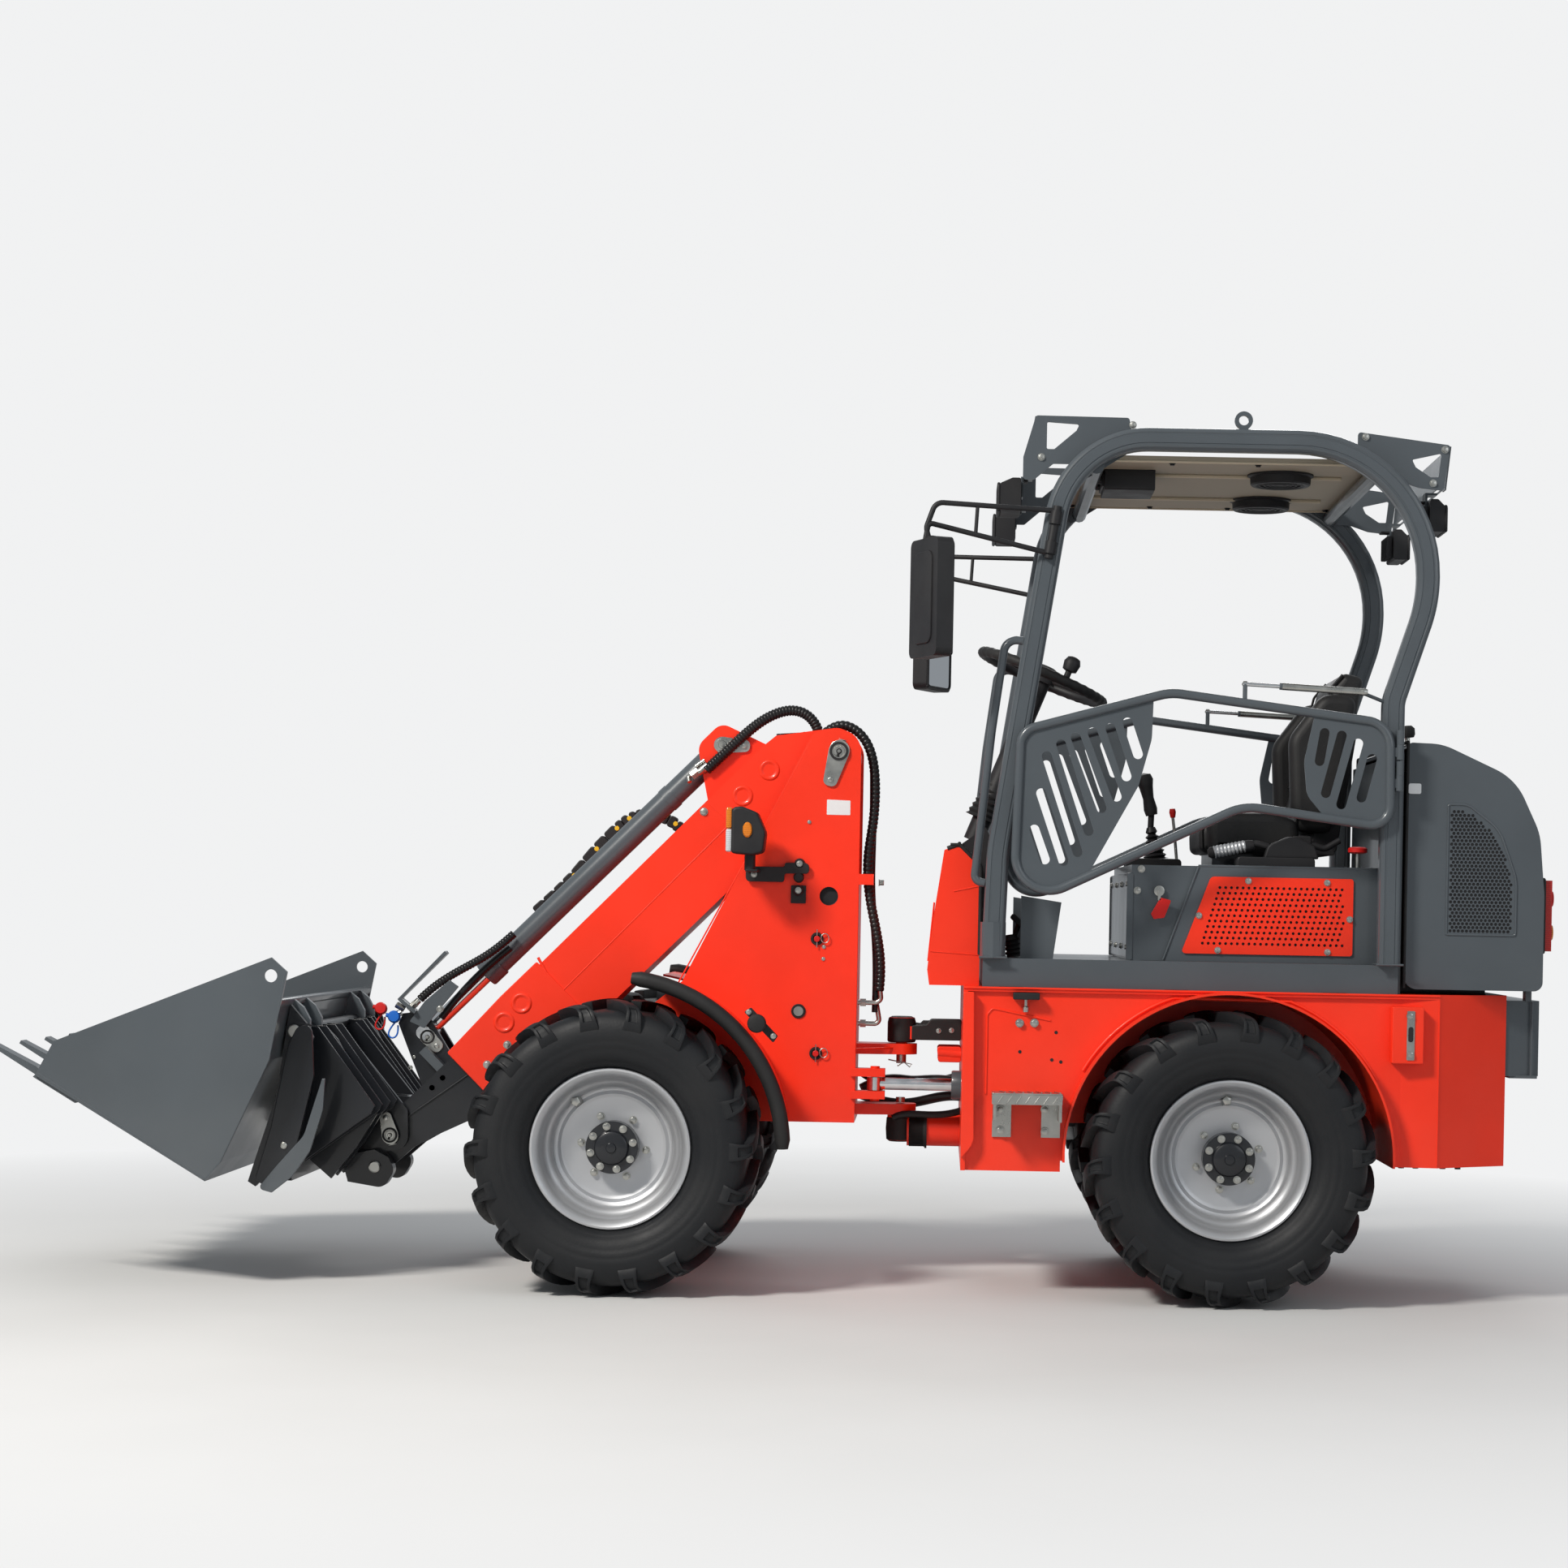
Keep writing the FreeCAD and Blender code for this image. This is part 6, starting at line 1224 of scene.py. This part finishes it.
# The thin black sheet just behind each punched panel is painted shade, which darkens its holes as the box's shaded
# inside would.
behind, panel_heads = [], []
for sign in (-1, 1):
    behind.append(plate([(790, 946), (1194, 946), (1194, 1114), (842, 1114)], sign * 412.4 - 0.3, 0.6, edge=0.1))
    panel_heads.append(spread(bolt(7), [(926, sign * 418, 1123), (1137, sign * 418, 1122), (1199, sign * 418, 1025),
                                        (1141, sign * 418, 936), (847, sign * 418, 936), (795, sign * 418, 1028)],
                              (0, sign, 0)))
settle(joined(behind), "panel_hole_shade", "black_plastic", "chassis")
settle(joined(panel_heads), "panel_bolts", "zinc_steel", "chassis")
face = [plate([(602, 906, 3), (619, 906, 3), (619, 1140, 8), (602, 1140, 8)], y, 3, edge=0.8) for y in (-405.5, 402.5)]
face.append(plate([(-396, 910), (396, 910), (396, 1140), (-396, 1140)], 606, 7, plane="front", edge=2, bend=10))
settle(joined(face), "seat_box_front", "grey_paint", "chassis")
box_heads = [spread(bolt(7), [(606, y, z) for y in (-370, -120, 120, 370) for z in (940, 1110)], (-1, 0, 0)),
             spread(bolt(8), [(640, -402, 1150), (630, -402, 1092)], (0, -1, 0)),
             turned([(0, 0), (0, 14), (5, 14), (6, 10), (6, 0)], 24, at(688, -411, 1092), (0, -1, 0)),
             plate([(684, 1092), (692, 1092), (692, 1066), (684, 1066)], -424, 3, edge=0.5)]
settle(joined(box_heads), "seat_box_bolts", "zinc_steel", "chassis")
tag = plate([(691, 1074, 4), (720, 1067, 4), (702, 1020, 4), (674, 1016, 4), (666, 1030, 4)], -424, 2, edge=0.4)
settle(tag, "key_tag", "bright_red", "chassis")
cover_edges = [tube([(702, y, 908), (792, y, 1158)], 3) for y in (-413, 413)]
cover_edges += [tube([(792, y, 1161), (1288, y, 1161)], 3.5) for y in (-410, 410)]
settle(joined(cover_edges), "cover_edges", "grey_paint", "chassis")

# Roof
# The beige liner is punched with fine holes, painted as dark dots of shade with a slight bump, and is held by
# dark bolts. Under it are two round black speakers with grilles and a radio in a black case.
punched_trim, shader, place = finish("punched_trim", (0.30, 0.26, 0.21), 0.62)
cells = place.node("ShaderNodeTexVoronoi", {"feature": "F1"}, {"Vector": place, "Scale": 120.0, "Randomness": 0.0})
# The dark dots are painted shade for the inside of the liner's fine holes.
hole_shade_dots = cells.limit(0.20, 0.26)
wire_to(shader, base_color=hole_shade_dots.mixed((0.05, 0.042, 0.035, 1), (0.34, 0.29, 0.22, 1)))
bumped(shader, hole_shade_dots, 0.6, 0.001)
nodes["roof_liner"].data.materials[0] = punched_trim
grilles, grille_rims = [], []
for y in (-250, 250):
    grilles.append(turned([(0, 0), (0, 90), (5, 90), (8, 83), (26, 82), (30, 78), (30, 68), (24, 60), (27, 30),
                           (29, 0)], 48, at(1010, y, 2236), (0, 0, -1)))
    grilles += [turned([(0, r), (0, r + 4), (3, r + 4), (3, r)], 40, at(1010, y, 2210), (0, 0, -1), closed=True)
                for r in (14, 28, 42, 56)]
    grille_rims.append(plate([(520, y * 0.9 - 8, 4), (1180, y * 0.9 - 8, 4), (1180, y * 0.9 + 8, 4),
                              (520, y * 0.9 + 8, 4)], 2228, 8, plane="top", edge=2))
settle(joined(grilles), "speaker_grilles", "black_plastic", "chassis")
settle(joined(grille_rims), "liner_folds", "beige_trim", "chassis")
radio = [plate([(-306, 2181, 8), (-114, 2181, 8), (-114, 2237, 4), (-306, 2237, 4)], 526, 138, plane="front",
               edge=2),
         plate([(-286, 2192, 5), (-134, 2192, 5), (-134, 2228, 5), (-286, 2228, 5)], 520, 10, plane="front", edge=2),
         turned([(0, 0), (0, 11), (14, 10), (14, 0)], 24, at(523, -270, 2210), (-1, 0, 0)),
         turned([(0, 0), (0, 11), (14, 10), (14, 0)], 24, at(523, -150, 2210), (-1, 0, 0))]
settle(joined(radio), "radio_face", "black_plastic", "chassis")
roof_heads = spread(bolt(7), [(x, y, 2236) for x in (470, 700, 930, 1220) for y in (-430, 430)], (0, 0, -1))
settle(roof_heads, "liner_bolts", "black_plastic", "chassis")
liner_rim = [tube([(440, y, 2236), (1250, y, 2236)], 4) for y in (-460, 460)]
settle(joined(liner_rim), "liner_edges", "beige_trim", "chassis")

# Work lamps
# Four black lamps with cooling ribs and a pane of clear plastic in a raised rim, each on a bent strap.
ribs, panes, lamp_rims, straps = [], [], [], []
for sign in (-1, 1):
    low, high = (250, 390) if sign > 0 else (-390, -250)
    for x, z_low, z_high, ahead in ((240, 2108, 2180, -1), (1440, 2076, 2142, 1)):
        pane_at = x + (0 if ahead > 0 else -3)
        panes.append(plate([(low + 12, z_low + 6), (high - 12, z_low + 6), (high - 12, z_high - 8),
                            (low + 12, z_high - 8)], pane_at, 3, plane="front", edge=1, bend=6))
        corners = [(low + 2, z_low), (high - 2, z_low), (high - 2, z_high), (low + 2, z_high), (low + 2, z_low)]
        lamp_rims.append(tube([(x + ahead * 2, y, z) for y, z in corners], 4.5, 10))
        back = x - ahead * 52
        for k in range(7):
            y = low + 16 + 18 * k
            ribs.append(plate([(back - 8, z_low + 4, 3), (back + 8, z_low + 4, 3), (back + 8, z_high, 3),
                               (back - 8, z_high, 3)], y, 4, edge=0.8))
        middle = (low + high) / 2
        straps.append(plate([(back - 20, z_high + 12), (back + 26, z_high + 12), (back + 26, z_high + 18),
                             (back - 20, z_high + 18)], middle - 22, 44, edge=1))
settle(joined(ribs + lamp_rims + straps), "work_lamp_ribs", "black_plastic", "chassis")
settle(joined(panes), "work_lamp_panes", "clear_plastic", "chassis")

bracket_heads = []
for sign in (-1, 1):
    bracket_heads.append(spread(bolt(8), [(x, sign * 470, z) for x, z in (
        (348, 2240), (450, 2212), (590, 2330), (1210, 2310), (1230, 2216), (1392, 2190), (1422, 2280))], (0, sign, 0)))
settle(joined(bracket_heads), "bracket_bolts", "zinc_steel", "chassis")

# Mirrors
# The housings have a raised rim round the glass, which looks back at the driver, and clamps on the bar.
glass_paint, shader, place = finish("mirror_glass", (0.62, 0.64, 0.66), 0.03, 1.0)
wire_to(shader, roughness=wear(place, 4.0) * 0.02 + 0.03)
finishes["mirror_glass"] = glass_paint
for side, sign in (("left", -1), ("right", 1)):
    middle = at(63, sign * 600, 0)
    turn = Matrix.Translation(middle) @ Matrix.Rotation(math.radians(-sign * 25), 4, "Z")
    turn = turn @ Matrix.Translation(-middle)
    y = sign * 600
    glass = joined([plate([(y - 74, 1702), (y + 74, 1702), (y + 74, 1988), (y - 74, 1988)], 85.4, 2,
                          plane="front", edge=0.6, bend=16)])
    glass.data.transform(turn)
    settle(glass, f"mirror_glass_{side}", "mirror_glass", "chassis")
    corners = [(y - 78, 1697), (y + 78, 1697), (y + 78, 1993), (y - 78, 1993), (y - 78, 1697)]
    rim = joined([tube([(86, a, b) for a, b in corners], 5, 18),
                  plate([(y - 55, 1724), (y + 55, 1724), (y + 55, 1966), (y - 55, 1966)], 36, 6, plane="front",
                        edge=2.5, bend=26)])
    rim.data.transform(turn)
    clips = [tube([(384, sign * 546, 2052), (389, sign * 546, 2086)], 16),
             tube([(372, sign * 546, 1974), (377, sign * 546, 2006)], 16),
             turned([(0, 0), (0, 17), (20, 17), (24, 12), (24, 0)], 24, at(60, y, 1984), (0, 0, 1))]
    settle(joined([rim] + clips), f"mirror_rim_{side}", "black_plastic", "chassis")

# Bonnet
# A rubber seam runs along the front edge, hex mesh fills the vents, and there are a latch, a round
# knob on a stud, a fold line down the rear and rims round the tail lamps.
limits = ((990, 1620), (1140, 1618), (1200, 1600), (1270, 1562), (1310, 1512), (1326, 1470))


def vent_reach(z):
    """How far back the vent's opening goes at a height."""
    for (low, start), (high, end) in zip(limits, limits[1:]):
        if low <= z <= high:
            return start + (end - start) * (z - low) / (high - low)
    return 0


vent_holes = []
for row in range(35):
    z = 1000 + 9.6 * row
    shift = 5.5 * (row % 2)
    vent_holes += [(1458 + shift + 11 * k, z, 4.7) for k in range(15) if 1458 + shift + 11 * k < vent_reach(z)]
mesh_outline = [(1448, 990, 6), (1632, 990, 6), (1632, 1140, 140), (1585, 1270, 110), (1500, 1336, 50),
                (1448, 1336, 6)]
vent_sheets = [plate(mesh_outline, y, 2, vent_holes, edge=0, sides=6) for y in (-480.4, 478.4)]
settle(joined(vent_sheets), "vent_mesh", "grey_paint", "hood")
vent_rims = []
for y in (-480.5, 480.5):
    ring = [(1448, y, 990), (1632, y, 990), (1632, y, 1140, 140), (1585, y, 1270, 110), (1500, y, 1336, 50),
            (1448, y, 1336), (1448, y, 990)]
    vent_rims.append(tube(ring, 3, 6))
settle(joined(vent_rims), "vent_rims", "grey_paint", "hood")
seam = [tube([(1338, y, 846), (1338, y, 1499)], 4.5) for y in (-478, 478)]
seam.append(tube([(1338, -474, 1500), (1338, 474, 1500)], 4.5))
knob = turned([(0, 0), (0, 16), (8, 20), (24, 20), (32, 12), (33, 0)], 32, at(1352, -380, 1517), (-0.1, 0, 1))
settle(joined(seam + [knob]), "bonnet_seal", "black_rubber", "hood")
stud = turned([(0, 0), (0, 7), (24, 7), (24, 0)], 20, at(1352, -380, 1496), (-0.1, 0, 1))
settle(stud, "bonnet_stud", "zinc_steel", "hood")
latch = [plate([(1340, 1390, 5), (1374, 1390, 5), (1374, 1362, 5), (1340, 1362, 5)], y, 5, edge=1.5)
         for y in (-484.5, 479.5)]
settle(joined(latch), "bonnet_latches", "label_white", "hood")
lamp_rims = []
for y in (-430, 430):
    corners = [(y - 32, 948), (y + 32, 948), (y + 32, 1141), (y - 32, 1141), (y - 32, 948)]
    lamp_rims.append(tube([(1710, a, b) for a, b in corners], 5, 8))
settle(joined(lamp_rims), "tail_lamp_rims", "black_rubber", "hood")
lamp_disks = [turned([(0, 0), (0, 22), (4, 20), (6, 0)], 32, at(1735, y, z), (1, 0, 0)) for y in (-430, 430)
              for z in (1000, 1090)]
settle(joined(lamp_disks[0::2]), "tail_lamp_amber", "amber_plastic", "hood")
settle(joined(lamp_disks[1::2]), "tail_lamp_red", "bright_red", "hood")

# Sizes
# The box round the finished loader, without the floor.
low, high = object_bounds()
